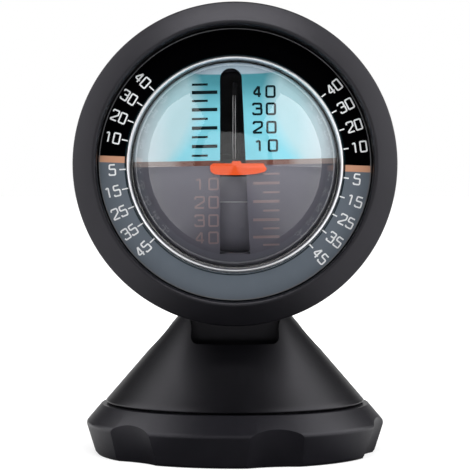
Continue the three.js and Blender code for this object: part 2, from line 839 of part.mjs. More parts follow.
function rotorFront() {
  const shell = facing(
    turned(
      [
        ...arc(rotorRadius, 90, latitude(rotorRadius, -rotorSplitDepth)),
        ...arc(rotorInnerRadius, latitude(rotorInnerRadius, -rotorSplitDepth), 90),
      ],
      ballSteps,
    ),
  );
  const top = rotorRadius * Math.sin(radians(rotorSlotTopDegrees));
  const bottom = -rotorRadius * Math.sin(radians(rotorSlotBottomDegrees));
  const slot = new THREE.Shape();
  const topRound = (rotorSlotLeft + rotorSlotTopRight) / 2;
  slot.moveTo(-rotorSlotLeft, top - topRound);
  slot.lineTo(-rotorSlotLeft, bottom);
  slot.lineTo(rotorSlotBottomRight, bottom);
  slot.lineTo(rotorSlotTopRight, top - topRound);
  slot.absarc(topRound - rotorSlotLeft, top - topRound, topRound, 0, Math.PI);
  const slotBack = -rotorRadius * Math.cos(radians(rotorSlotTopDegrees));
  const bossFoot = rotorInnerRadius + fitGap;
  const bosses = [-1, 1].map((side) =>
    crosswise(rod(axleBossRadius, side * (bossFoot - axleBossLength), side * bossFoot)),
  );
  const bore = axleHalfLength + fitGap;
  return cut(
    joined(shell, ...bosses),
    alongY(slot, -rotorRadius - cutOverrun, slotBack),
    crosswise(rod(axleRadius + fitGap, -bore, bore)),
  );
}

function rotorRear() {
  const split = -rotorSplitDepth - fitGap;
  const hubBore = bushRadius + fitGap;
  const hubMeetsWall = -Math.sqrt(rotorInnerRadius ** 2 - rotorHubRadius ** 2);
  const boreMeetsOutside = -Math.sqrt(rotorRadius ** 2 - hubBore ** 2);
  return facing(
    turned(
      [
        [hubBore, -rotorHubTip],
        [rotorHubRadius, -rotorHubTip],
        ...arc(rotorInnerRadius, latitude(rotorInnerRadius, hubMeetsWall), latitude(rotorInnerRadius, split)),
        ...arc(rotorRadius, latitude(rotorRadius, split), latitude(rotorRadius, boreMeetsOutside)),
      ],
      ballSteps,
    ),
  );
}

function rollWeight() {
  const reach = rollWeightRadius;
  return common(
    cut(ball(rollWeightRadius), ball(rollWeightInnerRadius)),
    block(-reach, reach, -rollWeightFront, rollWeightBack, -reach - cutOverrun, -rollWeightTop),
  );
}

place(rotor, "rotor_front", rotorFront(), ballPrint);
place(rotor, "rotor_rear", rotorRear(), ballRearPlastic);
place(
  rotor,
  "rotor_bush",
  facing(tube(shaftRadius + runningGap, bushRadius, -rotorRadius, -rotorHubTip)),
  brass,
);
place(rotor, "roll_weight", rollWeight(), brass);
place(rotor, "pitch_axle", crosswise(rod(axleRadius, -axleHalfLength, axleHalfLength)), steel);

// Pitch pendulum. Its group hangs upright, so that the pointer stays level while the head leans.
const pendulum = new THREE.Group();
pendulum.rotation.x = radians(headTiltBackDegrees);
rotor.add(pendulum);

function pitchPlate() {
  const sector = new THREE.Shape();
  sector.moveTo(0, 0);
  const tongueAngle = -Math.asin(pointerDrop / plateSectorRadius);
  sector.absarc(0, 0, plateSectorRadius, tongueAngle, radians(plateSectorTopDegrees));
  const half = plateHalfThickness;
  const tongueTip = pointerInnerRadius - fitGap;
  const tongueTop = plateTongueHalfHeight - pointerDrop;
  const tongueBottom = -plateTongueHalfHeight - pointerDrop;
  const stemFoot = weightTop + weightGrooveDepth - fitGap;
  return cut(
    joined(
      acrossX(sector, half),
      crosswise(rod(plateHubRadius, -half, half)),
      block(-half, half, -tongueTip, 0, tongueBottom, tongueTop),
      block(-half, half, -plateStemHalfDepth, plateStemHalfDepth, -stemFoot, 0),
    ),
    crosswise(rod(pitchBushRadius + fitGap, -half - cutOverrun, half + cutOverrun)),
  );
}

// The weight's shield closes the slot between the weight and the pointer
function weightShield() {
  const radius = weightRadius - shieldInset;
  const reach = weightHalfThickness + cutOverrun;
  const top = pointerDrop + pointerHalfHeight + shieldDrop;
  return common(
    crosswise(tube(radius - shieldThickness, radius, -weightHalfThickness, weightHalfThickness)),
    block(-reach, reach, -radius, 0, -weightTop - shieldThickness * 2, -top),
  );
}

function pitchWeight() {
  const cornerAngle = Math.asin(weightTop / weightRadius);
  const segment = new THREE.Shape();
  segment.absarc(0, 0, weightRadius, cornerAngle - Math.PI, -cornerAngle);
  const grooveHalfWidth = plateHalfThickness + fitGap;
  const grooveHalfDepth = plateStemHalfDepth + fitGap;
  const grooveFloor = -weightTop - weightGrooveDepth;
  const groove = block(
    -grooveHalfWidth,
    grooveHalfWidth,
    -grooveHalfDepth,
    grooveHalfDepth,
    grooveFloor,
    cutOverrun - weightTop,
  );
  const bob = acrossX(segment, weightHalfThickness).rotateX(radians(weightSetBackDegrees));
  return cut(joined(bob, weightShield()), groove);
}

function pointerBar() {
  const bar = new THREE.Shape();
  bar.moveTo(-pointerLeft + pointerEndRadius, pointerHalfHeight);
  bar.absarc(
    pointerEndRadius - pointerLeft,
    pointerHalfHeight - pointerEndRadius,
    pointerEndRadius,
    Math.PI / 2,
    Math.PI,
  );
  bar.quadraticCurveTo(-pointerLeft, -pointerHalfHeight, 0, -pointerHalfHeight);
  bar.quadraticCurveTo(pointerRight - pointerEndRadius, -pointerHalfHeight, pointerRight, 0);
  bar.lineTo(pointerRight - pointerEndRadius, pointerHalfHeight);
  bar.lineTo(pointerTabHalfWidth, pointerHalfHeight);
  bar.lineTo(pointerTabHalfWidth, pointerHalfHeight + pointerTabHeight);
  bar.lineTo(-pointerTabHalfWidth, pointerHalfHeight + pointerTabHeight);
  bar.lineTo(-pointerTabHalfWidth, pointerHalfHeight);
  return common(
    cut(ball(pointerOuterRadius), ball(pointerInnerRadius)),
    alongY(bar, -pointerOuterRadius - cutOverrun, -pointerInnerRadius / 2).translate(0, 0, -pointerDrop),
  );
}

place(pendulum, "pitch_plate", pitchPlate(), armPlastic);
place(
  pendulum,
  "pitch_bush",
  crosswise(tube(axleRadius + runningGap, pitchBushRadius, -pitchBushHalfLength, pitchBushHalfLength)),
  brass,
);
place(pendulum, "pitch_weight", pitchWeight(), brass);
place(pendulum, "pointer_bar", pointerBar(), pointerOrange);

export default inclinometer;
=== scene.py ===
import math

import bpy
from mathutils import Matrix, Vector


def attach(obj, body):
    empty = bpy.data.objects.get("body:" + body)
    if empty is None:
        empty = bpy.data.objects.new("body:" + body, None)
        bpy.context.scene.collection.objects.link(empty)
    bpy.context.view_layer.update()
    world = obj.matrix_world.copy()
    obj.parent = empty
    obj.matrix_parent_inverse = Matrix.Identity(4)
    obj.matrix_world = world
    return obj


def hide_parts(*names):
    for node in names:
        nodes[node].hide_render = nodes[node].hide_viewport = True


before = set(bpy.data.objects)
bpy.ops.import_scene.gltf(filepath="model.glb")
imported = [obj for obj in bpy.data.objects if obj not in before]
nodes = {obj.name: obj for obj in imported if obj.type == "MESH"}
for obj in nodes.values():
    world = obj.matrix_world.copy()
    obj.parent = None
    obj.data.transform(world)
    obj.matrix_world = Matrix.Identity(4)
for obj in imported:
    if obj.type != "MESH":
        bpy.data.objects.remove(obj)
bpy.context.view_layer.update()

MM = 0.001
WELD = MM / 1000

# Where the dial's face, the ball's middle and the head's pivot are, in mm
DIAL_MIDDLE = (0, -19.998, 66.499)
BALL_MIDDLE = (0, -16.504, 66.303)
PIVOT = (0, 0, 26.5)

# How far the head leans back at rest and nods forward at its limit, in degrees
HEAD_LEAN = 3.2
HEAD_NOD = 13

# The ball, the dome over it and the liquid between them
BALL_RADIUS = 20.6
BALL_INSIDE = 19.4
BALL_FRONT_END = 3
DOME_RADIUS = 22.91
DOME_INSIDE = 21.9
DOME_FLANGE = 25.2
DOME_FLANGE_THICK = 1.6
LIQUID_INDEX = 1.4

# The bezel and the housing behind it: their radius and bores, and heights counted from the dial's face
HEAD_RADIUS = 36
BEZEL_BORE = 30.6
BEZEL_BACK = -5.5
HOUSING_BORE = 31.2
HOUSING_RIM = 33.6
HOUSING_FRONT = -5.8
HOUSING_BACK = -31.75
HOUSING_SWEEP = 74

# The neck in the cone's well, and the bolt through both
NECK_HALF_WIDTH = 9.15
WELL_HALF_WIDTH = 9.9
BOLT_BORE = 2.05
BOLT_SEAT = 12.2

# How far the photograph's print is turned, in degrees, and how thick the ink lies
DIAL_TURN = -2.2
BALL_TURN = 1.15
BALL_TICK_TURN = 1.2
BALL_NUMBER_TURN = 0.6
DIAL_INK = 0.05
BALL_INK = 0.06

# The photograph's camera, in the photograph's own pixels, and its place in mm
PHOTO_SIDE = 470
FOCAL_PIXELS = 2376
SENSOR_WIDTH = 36
CAMERA_BACK = 548
CAMERA_HEIGHT = 66.72
CAMERA_DIP = 1.736
BALL_PIXEL = (235, 164.9)


def rotated(degrees, axis):
    """A turn about an axis through the origin"""
    return Matrix.Rotation(math.radians(degrees), 4, axis)


def standing(middle, lean):
    """The frame of a piece that was drawn face up: its Z comes forward and its Y up"""
    return Matrix.Translation(Vector(middle) * MM) @ rotated(90 - lean, "X")


UPRIGHT = Matrix.Identity(4)
DIAL = standing(DIAL_MIDDLE, HEAD_LEAN)
CAPSULE = standing(BALL_MIDDLE, HEAD_LEAN)
LEVEL = standing(BALL_MIDDLE, 0)
AT_PIVOT = Matrix.Translation(Vector(PIVOT) * MM)
NECK = AT_PIVOT @ rotated(-HEAD_LEAN, "X")


# Drawing and shaping
def pick(piece):
    bpy.ops.object.select_all(action="DESELECT")
    piece.select_set(True)
    bpy.context.view_layer.objects.active = piece


def open_up(piece, kind="VERT"):
    pick(piece)
    bpy.ops.object.mode_set(mode="EDIT")
    bpy.ops.mesh.select_mode(type=kind)
    bpy.ops.mesh.select_all(action="SELECT")


def shut():
    bpy.ops.object.mode_set(mode="OBJECT")


def line(name, points):
    """Edges through points in mm, drawn out of one vertex"""
    bpy.ops.object.select_all(action="DESELECT")
    bpy.ops.mesh.primitive_plane_add(size=MM)
    piece = bpy.context.object
    piece.name = name
    open_up(piece)
    bpy.ops.mesh.merge(type="CENTER")
    bpy.ops.transform.translate(value=Vector(points[0]) * MM)
    for start, end in zip(points, points[1:]):
        step = (Vector(end) - Vector(start)) * MM
        bpy.ops.mesh.extrude_vertices_move(TRANSFORM_OT_translate={"value": step})
    shut()
    return piece


def turned(name, outline, steps=128):
    """An outline of (radius, height) in mm, spun about Z and closed"""
    piece = line(name, [(radius, 0, height) for radius, height in outline])
    open_up(piece)
    bpy.ops.mesh.spin(steps=steps, angle=math.tau, center=(0, 0, 0), axis=(0, 0, 1))
    bpy.ops.mesh.select_all(action="SELECT")
    bpy.ops.mesh.remove_doubles(threshold=WELD)
    bpy.ops.mesh.normals_make_consistent(inside=False)
    shut()
    return piece


def arc(radius, start, end, steps, middle_radius=0, middle_height=0, half_height=None):
    """Points of a round or oval arc on one side of the axis, by its angles in degrees"""
    points = []
    for i in range(steps + 1):
        angle = math.radians(start + (end - start) * i / steps)
        out = middle_radius + radius * math.cos(angle)
        up = middle_height + (half_height or radius) * math.sin(angle)
        points.append((max(0, out), up))
    return points


def arc_points(radius, start, end, steps):
    """Points of an arc about the origin, by its angles in degrees, on both sides of the axis"""
    angles = [math.radians(start + (end - start) * i / steps) for i in range(steps + 1)]
    return [(radius * math.cos(angle), radius * math.sin(angle)) for angle in angles]


def softened(points, rounds, steps=5):
    """The same outline with its corners rounded: rounds has a radius for each corner, 0 for a sharp one"""
    made = [points[0]]
    for before, corner, after, round_size in zip(points, points[1:], points[2:], rounds):
        here = Vector(corner)
        back = Vector(before) - here
        ahead = Vector(after) - here
        if not round_size:
            made.append(tuple(corner))
            continue
        half = back.angle(ahead) / 2
        reach = min(round_size / math.tan(half), back.length * 0.49, ahead.length * 0.49)
        size = reach * math.tan(half)
        middle = here + (back.normalized() + ahead.normalized()).normalized() * (size / math.sin(half))
        first = (here + back.normalized() * reach - middle).normalized()
        last = (here + ahead.normalized() * reach - middle).normalized()
        for i in range(steps + 1):
            made.append(tuple(middle + first.slerp(last, i / steps) * size))
    made.append(points[-1])
    return made


def stepped(points, longest):
    """The same line with points added wherever a step is too long"""
    made = [points[0]]
    for start, end in zip(points, points[1:]):
        start, end = Vector(start), Vector(end)
        steps = math.ceil((end - start).length / longest)
        made += [tuple(start.lerp(end, i / steps)) for i in range(1, steps + 1)]
    return made


def slab(name, outline, low, high):
    """A flat outline of (x, y) in mm, filled and drawn up from low to high"""
    piece = line(name, [(x, y, low) for x, y in [*outline, outline[0]]])
    open_up(piece)
    bpy.ops.mesh.remove_doubles(threshold=WELD)
    bpy.ops.mesh.edge_face_add()
    bpy.ops.mesh.extrude_region_move(TRANSFORM_OT_translate={"value": (0, 0, (high - low) * MM)})
    bpy.ops.mesh.select_all(action="SELECT")
    bpy.ops.mesh.normals_make_consistent(inside=False)
    shut()
    return piece


def block(name, low, high):
    """A box between two corners in mm"""
    outline = [(low[0], low[1]), (high[0], low[1]), (high[0], high[1]), (low[0], high[1])]
    return slab(name, outline, low[2], high[2])


def rod(name, radius, low, high, steps=64):
    return turned(name, [(0, low), (radius, low), (radius, high), (0, high)], steps)


def ball(name, radius, steps=96):
    return turned(name, arc(radius, -90, 90, steps // 2), steps)


def apply_modifier(piece, kind, **settings):
    pick(piece)
    modifier = piece.modifiers.new(kind.lower(), kind)
    for key, value in settings.items():
        setattr(modifier, key, value)
    bpy.ops.object.modifier_apply(modifier=modifier.name)


def combine(piece, how, *others):
    for other in others:
        apply_modifier(piece, "BOOLEAN", operation=how, solver="EXACT", object=other)
        bpy.data.objects.remove(other)
    return piece


def cut(piece, *cutters):
    return combine(piece, "DIFFERENCE", *cutters)


def soften_edges(piece, width, steps=2, angle=35):
    apply_modifier(
        piece,
        "BEVEL",
        width=width * MM,
        segments=steps,
        limit_method="ANGLE",
        angle_limit=math.radians(angle),
        miter_outer="MITER_ARC",
        use_clamp_overlap=True,
    )
    return piece


def moved(piece, place):
    pick(piece)
    piece.matrix_world = place @ piece.matrix_world
    bpy.ops.object.transform_apply(location=True, rotation=True, scale=True)
    return piece


def across(piece):
    """Turns a piece drawn along Z so that it lies along X"""
    return moved(piece, rotated(90, "Y"))


def forward(piece):
    """Turns a piece drawn along Z so that it points forward, along -Y"""
    return moved(piece, rotated(90, "X"))


def edgewise(piece):
    """Turns a piece of the pendulum, drawn lying flat, on edge: its X comes forward and its Z to the side"""
    return moved(piece, rotated(-90, "Y"))


def settle(piece, place, body, finish, stands_for=(), smooth=32):
    """Puts a finished piece in its place, gives it its finish and lets it ride on its body"""
    moved(piece, place)
    bpy.ops.object.shade_smooth_by_angle(angle=math.radians(smooth))
    piece.data.materials.clear()
    piece.data.materials.append(finish)
    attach(piece, body)
    if stands_for:
        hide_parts(*stands_for)
    return piece


# Finishes
def node(tree, kind, **values):
    made = tree.nodes.new(kind)
    for key, value in values.items():
        if key in made.inputs:
            made.inputs[key].default_value = value
        else:
            setattr(made, key, value)
    return made


def join(tree, start, end):
    tree.links.new(start, end)


def math_step(tree, how, first, second):
    step = node(tree, "ShaderNodeMath", operation=how)
    for socket, value in zip(step.inputs, (first, second)):
        if isinstance(value, (int, float)):
            socket.default_value = value
        else:
            join(tree, value, socket)
    return step.outputs[0]


def blend(tree, share, low, high):
    """A colour between two, each a colour or a socket"""
    mix = node(tree, "ShaderNodeMix", data_type="RGBA")
    join(tree, share, mix.inputs["Factor"])
    for socket, colour in ((mix.inputs[6], low), (mix.inputs[7], high)):
        if isinstance(colour, tuple):
            socket.default_value = (*colour, 1)
        else:
            join(tree, colour, socket)
    return mix.outputs[2]


def ramp(tree, value, low, high, to_low=0.0, to_high=1.0):
    spread = node(tree, "ShaderNodeMapRange")
    join(tree, value, spread.inputs["Value"])
    for key, number in (("From Min", low), ("From Max", high), ("To Min", to_low), ("To Max", to_high)):
        spread.inputs[key].default_value = number
    return spread.outputs["Result"]


def new_group(name, takes, gives):
    group = bpy.data.node_groups.new(name, "ShaderNodeTree")
    for key, kind, value in takes:
        socket = group.interface.new_socket(name=key, in_out="INPUT", socket_type=kind)
        socket.default_value = value
    for key, kind in gives:
        group.interface.new_socket(name=key, in_out="OUTPUT", socket_type=kind)
    return group, group.nodes.new("NodeGroupInput").outputs, group.nodes.new("NodeGroupOutput").inputs


EDGE_BLUR = 0.03
NUMBER = "NodeSocketFloat"
VECTOR = "NodeSocketVector"


def moulded_grain():
    """Fine grain of a moulded surface, with slow cloudy changes of shade"""
    takes = [("Grain Size", NUMBER, 0.35), ("Cloud Size", NUMBER, 9.0)]
    group, given, made = new_group("moulded grain", takes, [("Shade", NUMBER), ("Height", NUMBER)])
    place = node(group, "ShaderNodeTexCoord").outputs["Object"]
    for key, detail, result in (("Grain Size", 3, "Height"), ("Cloud Size", 4, "Shade")):
        scale = math_step(group, "DIVIDE", 1 / MM, given[key])
        noise = node(group, "ShaderNodeTexNoise", Detail=detail, Roughness=0.6)
        join(group, place, noise.inputs["Vector"])
        join(group, scale, noise.inputs["Scale"])
        join(group, noise.outputs["Fac"], made[result])
    return group


def brushed_lines():
    """Lines left by turning or drawing: noise drawn out along one way"""
    takes = [("Stretch", VECTOR, (1, 1, 12)), ("Line Size", NUMBER, 0.2)]
    group, given, made = new_group("brushed lines", takes, [("Shade", NUMBER), ("Height", NUMBER)])
    place = node(group, "ShaderNodeTexCoord").outputs["Object"]
    drawn = node(group, "ShaderNodeVectorMath", operation="DIVIDE")
    join(group, place, drawn.inputs[0])
    join(group, given["Stretch"], drawn.inputs[1])
    noise = node(group, "ShaderNodeTexNoise", Detail=5, Roughness=0.65)
    join(group, drawn.outputs[0], noise.inputs["Vector"])
    join(group, math_step(group, "DIVIDE", 1 / MM, given["Line Size"]), noise.inputs["Scale"])
    join(group, noise.outputs["Fac"], made["Shade"])
    join(group, noise.outputs["Fac"], made["Height"])
    return group


def bands():
    """Two edges across a printed surface: Upper is 1 above the first, Lower is 1 below the second"""
    takes = [
        ("Place", VECTOR, (0, 0, 0)),
        ("Turn", VECTOR, (0, 0, 0)),
        ("Lean", VECTOR, (0, 0, 0)),
        ("Upper Edge", NUMBER, 1.0),
        ("Lower Edge", NUMBER, 0.0),
    ]
    gives = [("Upper", NUMBER), ("Lower", NUMBER), ("Height", NUMBER), ("Side", NUMBER)]
    group, given, made = new_group("printed bands", takes, gives)
    centred = node(group, "ShaderNodeMapping", vector_type="TEXTURE")
    join(group, node(group, "ShaderNodeTexCoord").outputs["Object"], centred.inputs["Vector"])
    join(group, given["Place"], centred.inputs["Location"])
    join(group, given["Lean"], centred.inputs["Rotation"])
    level = node(group, "ShaderNodeMapping", vector_type="TEXTURE")
    join(group, centred.outputs["Vector"], level.inputs["Vector"])
    join(group, given["Turn"], level.inputs["Rotation"])
    split = node(group, "ShaderNodeSeparateXYZ")
    join(group, level.outputs["Vector"], split.inputs[0])
    height = math_step(group, "DIVIDE", split.outputs["Y"], MM)
    above = math_step(group, "SUBTRACT", height, given["Upper Edge"])
    below = math_step(group, "SUBTRACT", given["Lower Edge"], height)
    join(group, ramp(group, above, -EDGE_BLUR, EDGE_BLUR), made["Upper"])
    join(group, ramp(group, below, -EDGE_BLUR, EDGE_BLUR), made["Lower"])
    join(group, height, made["Height"])
    join(group, math_step(group, "DIVIDE", split.outputs["X"], MM), made["Side"])
    return group


GRAIN = moulded_grain()
LINES = brushed_lines()
BANDS = bands()


def use(tree, group, **values):
    placed = node(tree, "ShaderNodeGroup", node_tree=group)
    for key, value in values.items():
        placed.inputs[key.replace("_", " ")].default_value = value
    return placed.outputs


def new_finish(name, **values):
    finish = bpy.data.materials.new(name)
    finish.use_nodes = True
    tree = finish.node_tree
    shader = tree.nodes["Principled BSDF"]
    for key, value in values.items():
        shader.inputs[key.replace("_", " ")].default_value = value
    return finish, tree, shader


def add_grain(tree, shader, height, depth):
    """Gives a shader the small relief of a height"""
    bump = node(tree, "ShaderNodeBump", Strength=1.0, Distance=depth * MM)
    join(tree, height, bump.inputs["Height"])
    join(tree, bump.outputs["Normal"], shader.inputs["Normal"])


def plastic(name, dark, light, smooth, rough, grain_size=0.35, depth=0.004, **values):
    finish, tree, shader = new_finish(name, **values)
    grain = use(tree, GRAIN, Grain_Size=grain_size)
    join(tree, blend(tree, ramp(tree, grain["Shade"], 0.35, 0.65), dark, light), shader.inputs["Base Color"])
    join(tree, ramp(tree, grain["Height"], 0.3, 0.7, smooth, rough), shader.inputs["Roughness"])
    add_grain(tree, shader, grain["Height"], depth)
    return finish


def metal(name, dark, light, smooth, rough, stretch=(1, 1, 12), line_size=0.2, depth=0.003, **values):
    finish, tree, shader = new_finish(name, Metallic=1.0, **values)
    lines = use(tree, LINES, Stretch=stretch, Line_Size=line_size)
    join(tree, blend(tree, ramp(tree, lines["Shade"], 0.3, 0.7), dark, light), shader.inputs["Base Color"])
    join(tree, ramp(tree, lines["Shade"], 0.3, 0.7, smooth, rough), shader.inputs["Roughness"])
    add_grain(tree, shader, lines["Height"], depth)
    return finish


def clouded(tree, colour, grain, dark):
    """A colour with slow, faint clouds in it, the darkest at a share of dark"""
    shade = ramp(tree, grain["Shade"], 0.2, 0.8)
    tinted = node(tree, "ShaderNodeMix", data_type="RGBA", blend_type="MULTIPLY")
    tinted.inputs["Factor"].default_value = 1
    join(tree, colour, tinted.inputs[6])
    join(tree, blend(tree, shade, (dark, dark, dark), (1.04, 1.04, 1.04)), tinted.inputs[7])
    return tinted.outputs[2]


def banded(name, place, lean, turn, edges, colours, smooth, rough, **values):
    """A printed surface in three bands, from the top down"""
    finish, tree, shader = new_finish(name, **values)
    print_bands = use(
        tree,
        BANDS,
        Place=[c * MM for c in place],
        Lean=(math.radians(90 - lean), 0, 0),
        Turn=(0, 0, math.radians(turn)),
        Upper_Edge=edges[0],
        Lower_Edge=edges[1],
    )
    grain = use(tree, GRAIN, Grain_Size=0.25, Cloud_Size=6.0)
    top, middle, bottom = colours
    colour = blend(tree, print_bands["Upper"], middle, top)
    colour = blend(tree, print_bands["Lower"], colour, bottom)
    join(tree, clouded(tree, colour, grain, 0.93), shader.inputs["Base Color"])
    join(tree, ramp(tree, grain["Height"], 0.3, 0.7, smooth, rough), shader.inputs["Roughness"])
    add_grain(tree, shader, grain["Height"], 0.0015)
    return finish


def ball_print():
    """Sky above and ground below a brown horizon, on the ball's skin only, with light painted in: a painted
    reflection pales the sky and the band to both sides, painted shade darkens the sky near the top and the
    ground at its sides, and a painted highlight lightens the very top."""
    finish, tree, shader = new_finish("ball print with painted light", Specular_IOR_Level=0.06)
    place = use(
        tree,
        BANDS,
        Place=[c * MM for c in BALL_MIDDLE],
        Lean=(math.radians(90), 0, 0),
        Turn=(0, 0, math.radians(BALL_TURN)),
        Upper_Edge=0.99,
        Lower_Edge=-0.1,
    )
    side = math_step(tree, "ABSOLUTE", place["Side"], 0.0)
    bow = math_step(tree, "POWER", math_step(tree, "SUBTRACT", place["Height"], 13.5), 2.0)
    curved = math_step(tree, "SUBTRACT", side, math_step(tree, "MULTIPLY", bow, 0.04))
    # Painted reflection of the side lamps: the sky pales toward both sides along an edge bent with height,
    # and more toward the ball's outer sides
    pale = ramp(tree, curved, 5.6, 9.2)
    painted_rim_sheen_and_shade = ramp(tree, side, 13.0, 19.5)
    # Painted shade darkens the sky toward the top of the ball, and a painted highlight lightens a thin band
    # at its very top
    painted_top_shade = ramp(tree, place["Height"], 10.5, 17.0)
    painted_top_highlight = ramp(tree, place["Height"], 18.6, 18.8)
    sky = blend(tree, painted_top_shade, (0.155, 0.455, 0.54), (0.054, 0.225, 0.27))
    sky = blend(tree, pale, sky, (0.315, 0.475, 0.515))
    sky = blend(tree, painted_rim_sheen_and_shade, sky, (0.47, 0.54, 0.58))
    sky = blend(tree, painted_top_highlight, sky, (0.30, 0.38, 0.44))
    # Painted reflection pales the brown band toward both sides, and painted shade darkens the ground toward
    # the ball's outer sides
    horizon = blend(tree, ramp(tree, side, 11.0, 13.4), (0.115, 0.046, 0.034), (0.23, 0.19, 0.18))
    ground = blend(tree, painted_rim_sheen_and_shade, (0.106, 0.103, 0.126), (0.085, 0.085, 0.102))
    colour = blend(tree, place["Upper"], horizon, sky)
    colour = blend(tree, place["Lower"], colour, ground)
    reach = node(tree, "ShaderNodeVectorMath", operation="DISTANCE")
    join(tree, node(tree, "ShaderNodeTexCoord").outputs["Object"], reach.inputs[0])
    reach.inputs[1].default_value = [c * MM for c in BALL_MIDDLE]
    depth = math_step(tree, "DIVIDE", reach.outputs["Value"], MM)
    skin = ramp(tree, depth, BALL_RADIUS - 0.12, BALL_RADIUS - 0.06)
    colour = blend(tree, skin, (0.006, 0.006, 0.008), colour)
    grain = use(tree, GRAIN, Grain_Size=0.25, Cloud_Size=6.0)
    join(tree, clouded(tree, colour, grain, 0.94), shader.inputs["Base Color"])
    join(tree, ramp(tree, grain["Height"], 0.3, 0.7, 0.5, 0.58), shader.inputs["Roughness"])
    return finish


def clear_capsule():
    """Clear plastic and the liquid in it, as one body that bends light and lets lamps through"""
    finish, tree, shader = new_finish(
        "clear dome and liquid",
        Roughness=0.0,
        IOR=LIQUID_INDEX,
        Transmission_Weight=1.0,
    )
    shader.inputs["Base Color"].default_value = (1, 1, 1, 1)
    way = node(tree, "ShaderNodeLightPath")
    through = node(tree, "ShaderNodeBsdfTransparent")
    mix = node(tree, "ShaderNodeMixShader")
    join(tree, way.outputs["Is Shadow Ray"], mix.inputs[0])
    join(tree, shader.outputs[0], mix.inputs[1])
    join(tree, through.outputs[0], mix.inputs[2])
    join(tree, mix.outputs[0], tree.nodes["Material Output"].inputs["Surface"])
    return finish


# Each finish has its dark and its light colour, and its roughness where it is smoothest and roughest
BLACK = {"Specular_IOR_Level": 0.34, "Specular_Tint": (0.93, 0.91, 1.0, 1)}
PRINT_DEPTH = 0.001

black_plastic = plastic(
    "black moulded plastic",
    (0.0022, 0.0021, 0.003),
    (0.0036, 0.0034, 0.0047),
    0.33,
    0.43,
    depth=0.007,
    **BLACK,
)
ring_plastic = plastic(
    "foot ring plastic", (0.0065, 0.0062, 0.0085), (0.0088, 0.0084, 0.0112), 0.36, 0.44, **BLACK
)
inner_plastic = plastic("inner plastic", (0.008, 0.008, 0.009), (0.013, 0.013, 0.014), 0.45, 0.6)
ball_plastic = plastic("ball inner plastic", (0.06, 0.06, 0.068), (0.075, 0.074, 0.082), 0.35, 0.45)
arm_plastic = plastic(
    "pendulum plate plastic",
    (0.002, 0.002, 0.0025),
    (0.004, 0.004, 0.005),
    0.4,
    0.5,
    depth=PRINT_DEPTH,
    Specular_IOR_Level=0.05,
)
weight_paint = plastic(
    "pendulum weight paint", (0.13, 0.128, 0.155), (0.15, 0.147, 0.175), 0.35, 0.45, depth=PRINT_DEPTH
)
pointer_plastic = plastic(
    "pointer orange",
    (0.61, 0.066, 0.005),
    (0.65, 0.074, 0.007),
    0.3,
    0.38,
    depth=PRINT_DEPTH,
    Specular_IOR_Level=0.2,
)
foam = plastic(
    "foam tape", (0.035, 0.035, 0.038), (0.06, 0.06, 0.064), 0.85, 0.95, grain_size=0.5, depth=0.08
)
fibre = plastic("pressed fibre", (0.2, 0.17, 0.12), (0.3, 0.26, 0.2), 0.7, 0.85, grain_size=0.6, depth=0.02)
rubber = plastic("seal rubber", (0.008, 0.008, 0.008), (0.012, 0.012, 0.012), 0.6, 0.75)
steel = metal("zinc plated steel", (0.5, 0.51, 0.53), (0.62, 0.63, 0.65), 0.24, 0.38)
brass = metal("turned brass", (0.5, 0.36, 0.14), (0.62, 0.46, 0.2), 0.25, 0.4, line_size=0.15)
polished = metal("polished trim", (0.86, 0.87, 0.89), (0.93, 0.94, 0.96), 0.3, 0.38, depth=0.0004)
white_ink = plastic("white ink", (0.62, 0.63, 0.64), (0.72, 0.73, 0.74), 0.5, 0.6, depth=PRINT_DEPTH)
# Light grey of the painted highlight lines along the pendulum plate's edges
painted_highlight_ink = plastic(
    "arm painted highlight",
    (0.27, 0.27, 0.28),
    (0.35, 0.35, 0.36),
    0.5,
    0.6,
    depth=PRINT_DEPTH,
    Specular_IOR_Level=0.1,
)
# Grey of a painted highlight line along the dial's outer edge
painted_edge_highlight_grey = plastic("dial painted edge highlight", (0.075, 0.075, 0.08), (0.1, 0.1, 0.105), 0.4, 0.5, depth=PRINT_DEPTH)
dark_ink = plastic(
    "dark ink",
    (0.001, 0.006, 0.008),
    (0.002, 0.01, 0.013),
    0.6,
    0.7,
    depth=PRINT_DEPTH,
    Specular_IOR_Level=0.05,
)
rose_ink = plastic(
    "rose grey ink",
    (0.178, 0.135, 0.14),
    (0.21, 0.158, 0.164),
    0.5,
    0.6,
    depth=PRINT_DEPTH,
    Specular_IOR_Level=0.1,
)
dial_finish = banded(
    "dial print",
    DIAL_MIDDLE,
    HEAD_LEAN,
    DIAL_TURN,
    (0.72, -0.72),
    ((0.0006, 0.0006, 0.0008), (0.485, 0.255, 0.162), (0.107, 0.125, 0.148)),
    0.42,
    0.5,
    Specular_IOR_Level=0.0,
)
ball_print_and_painted_light_finish = ball_print()
clear = clear_capsule()


# Head: bezel, dial and trim ring
def front_bezel():
    """The bezel with its sloping face, and the step behind it that the housing's rim fits into"""
    face = [(BEZEL_BORE, 0), (BEZEL_BORE, 4.443), (HEAD_RADIUS, 1.982)]
    back = [(HEAD_RADIUS, BEZEL_BACK), (33.9, BEZEL_BACK), (33.9, -3.5), (BEZEL_BORE, -3.5), (BEZEL_BORE, 0)]
    rounds = (0.8, 0.5, 0.25, 0.15, 0, 0.1)
    return turned("bezel_moulding", softened(face + back, rounds, 7), 192)


def dial_ring():
    """The flat printed ring"""
    outline = [(27, 0), (24.28, 0), (24.28, -1), (30.3, -1), (30.3, 0), (27, 0)]
    return turned("dial_plate", softened(outline, (0.06, 0, 0, 0.06), 2), 160)


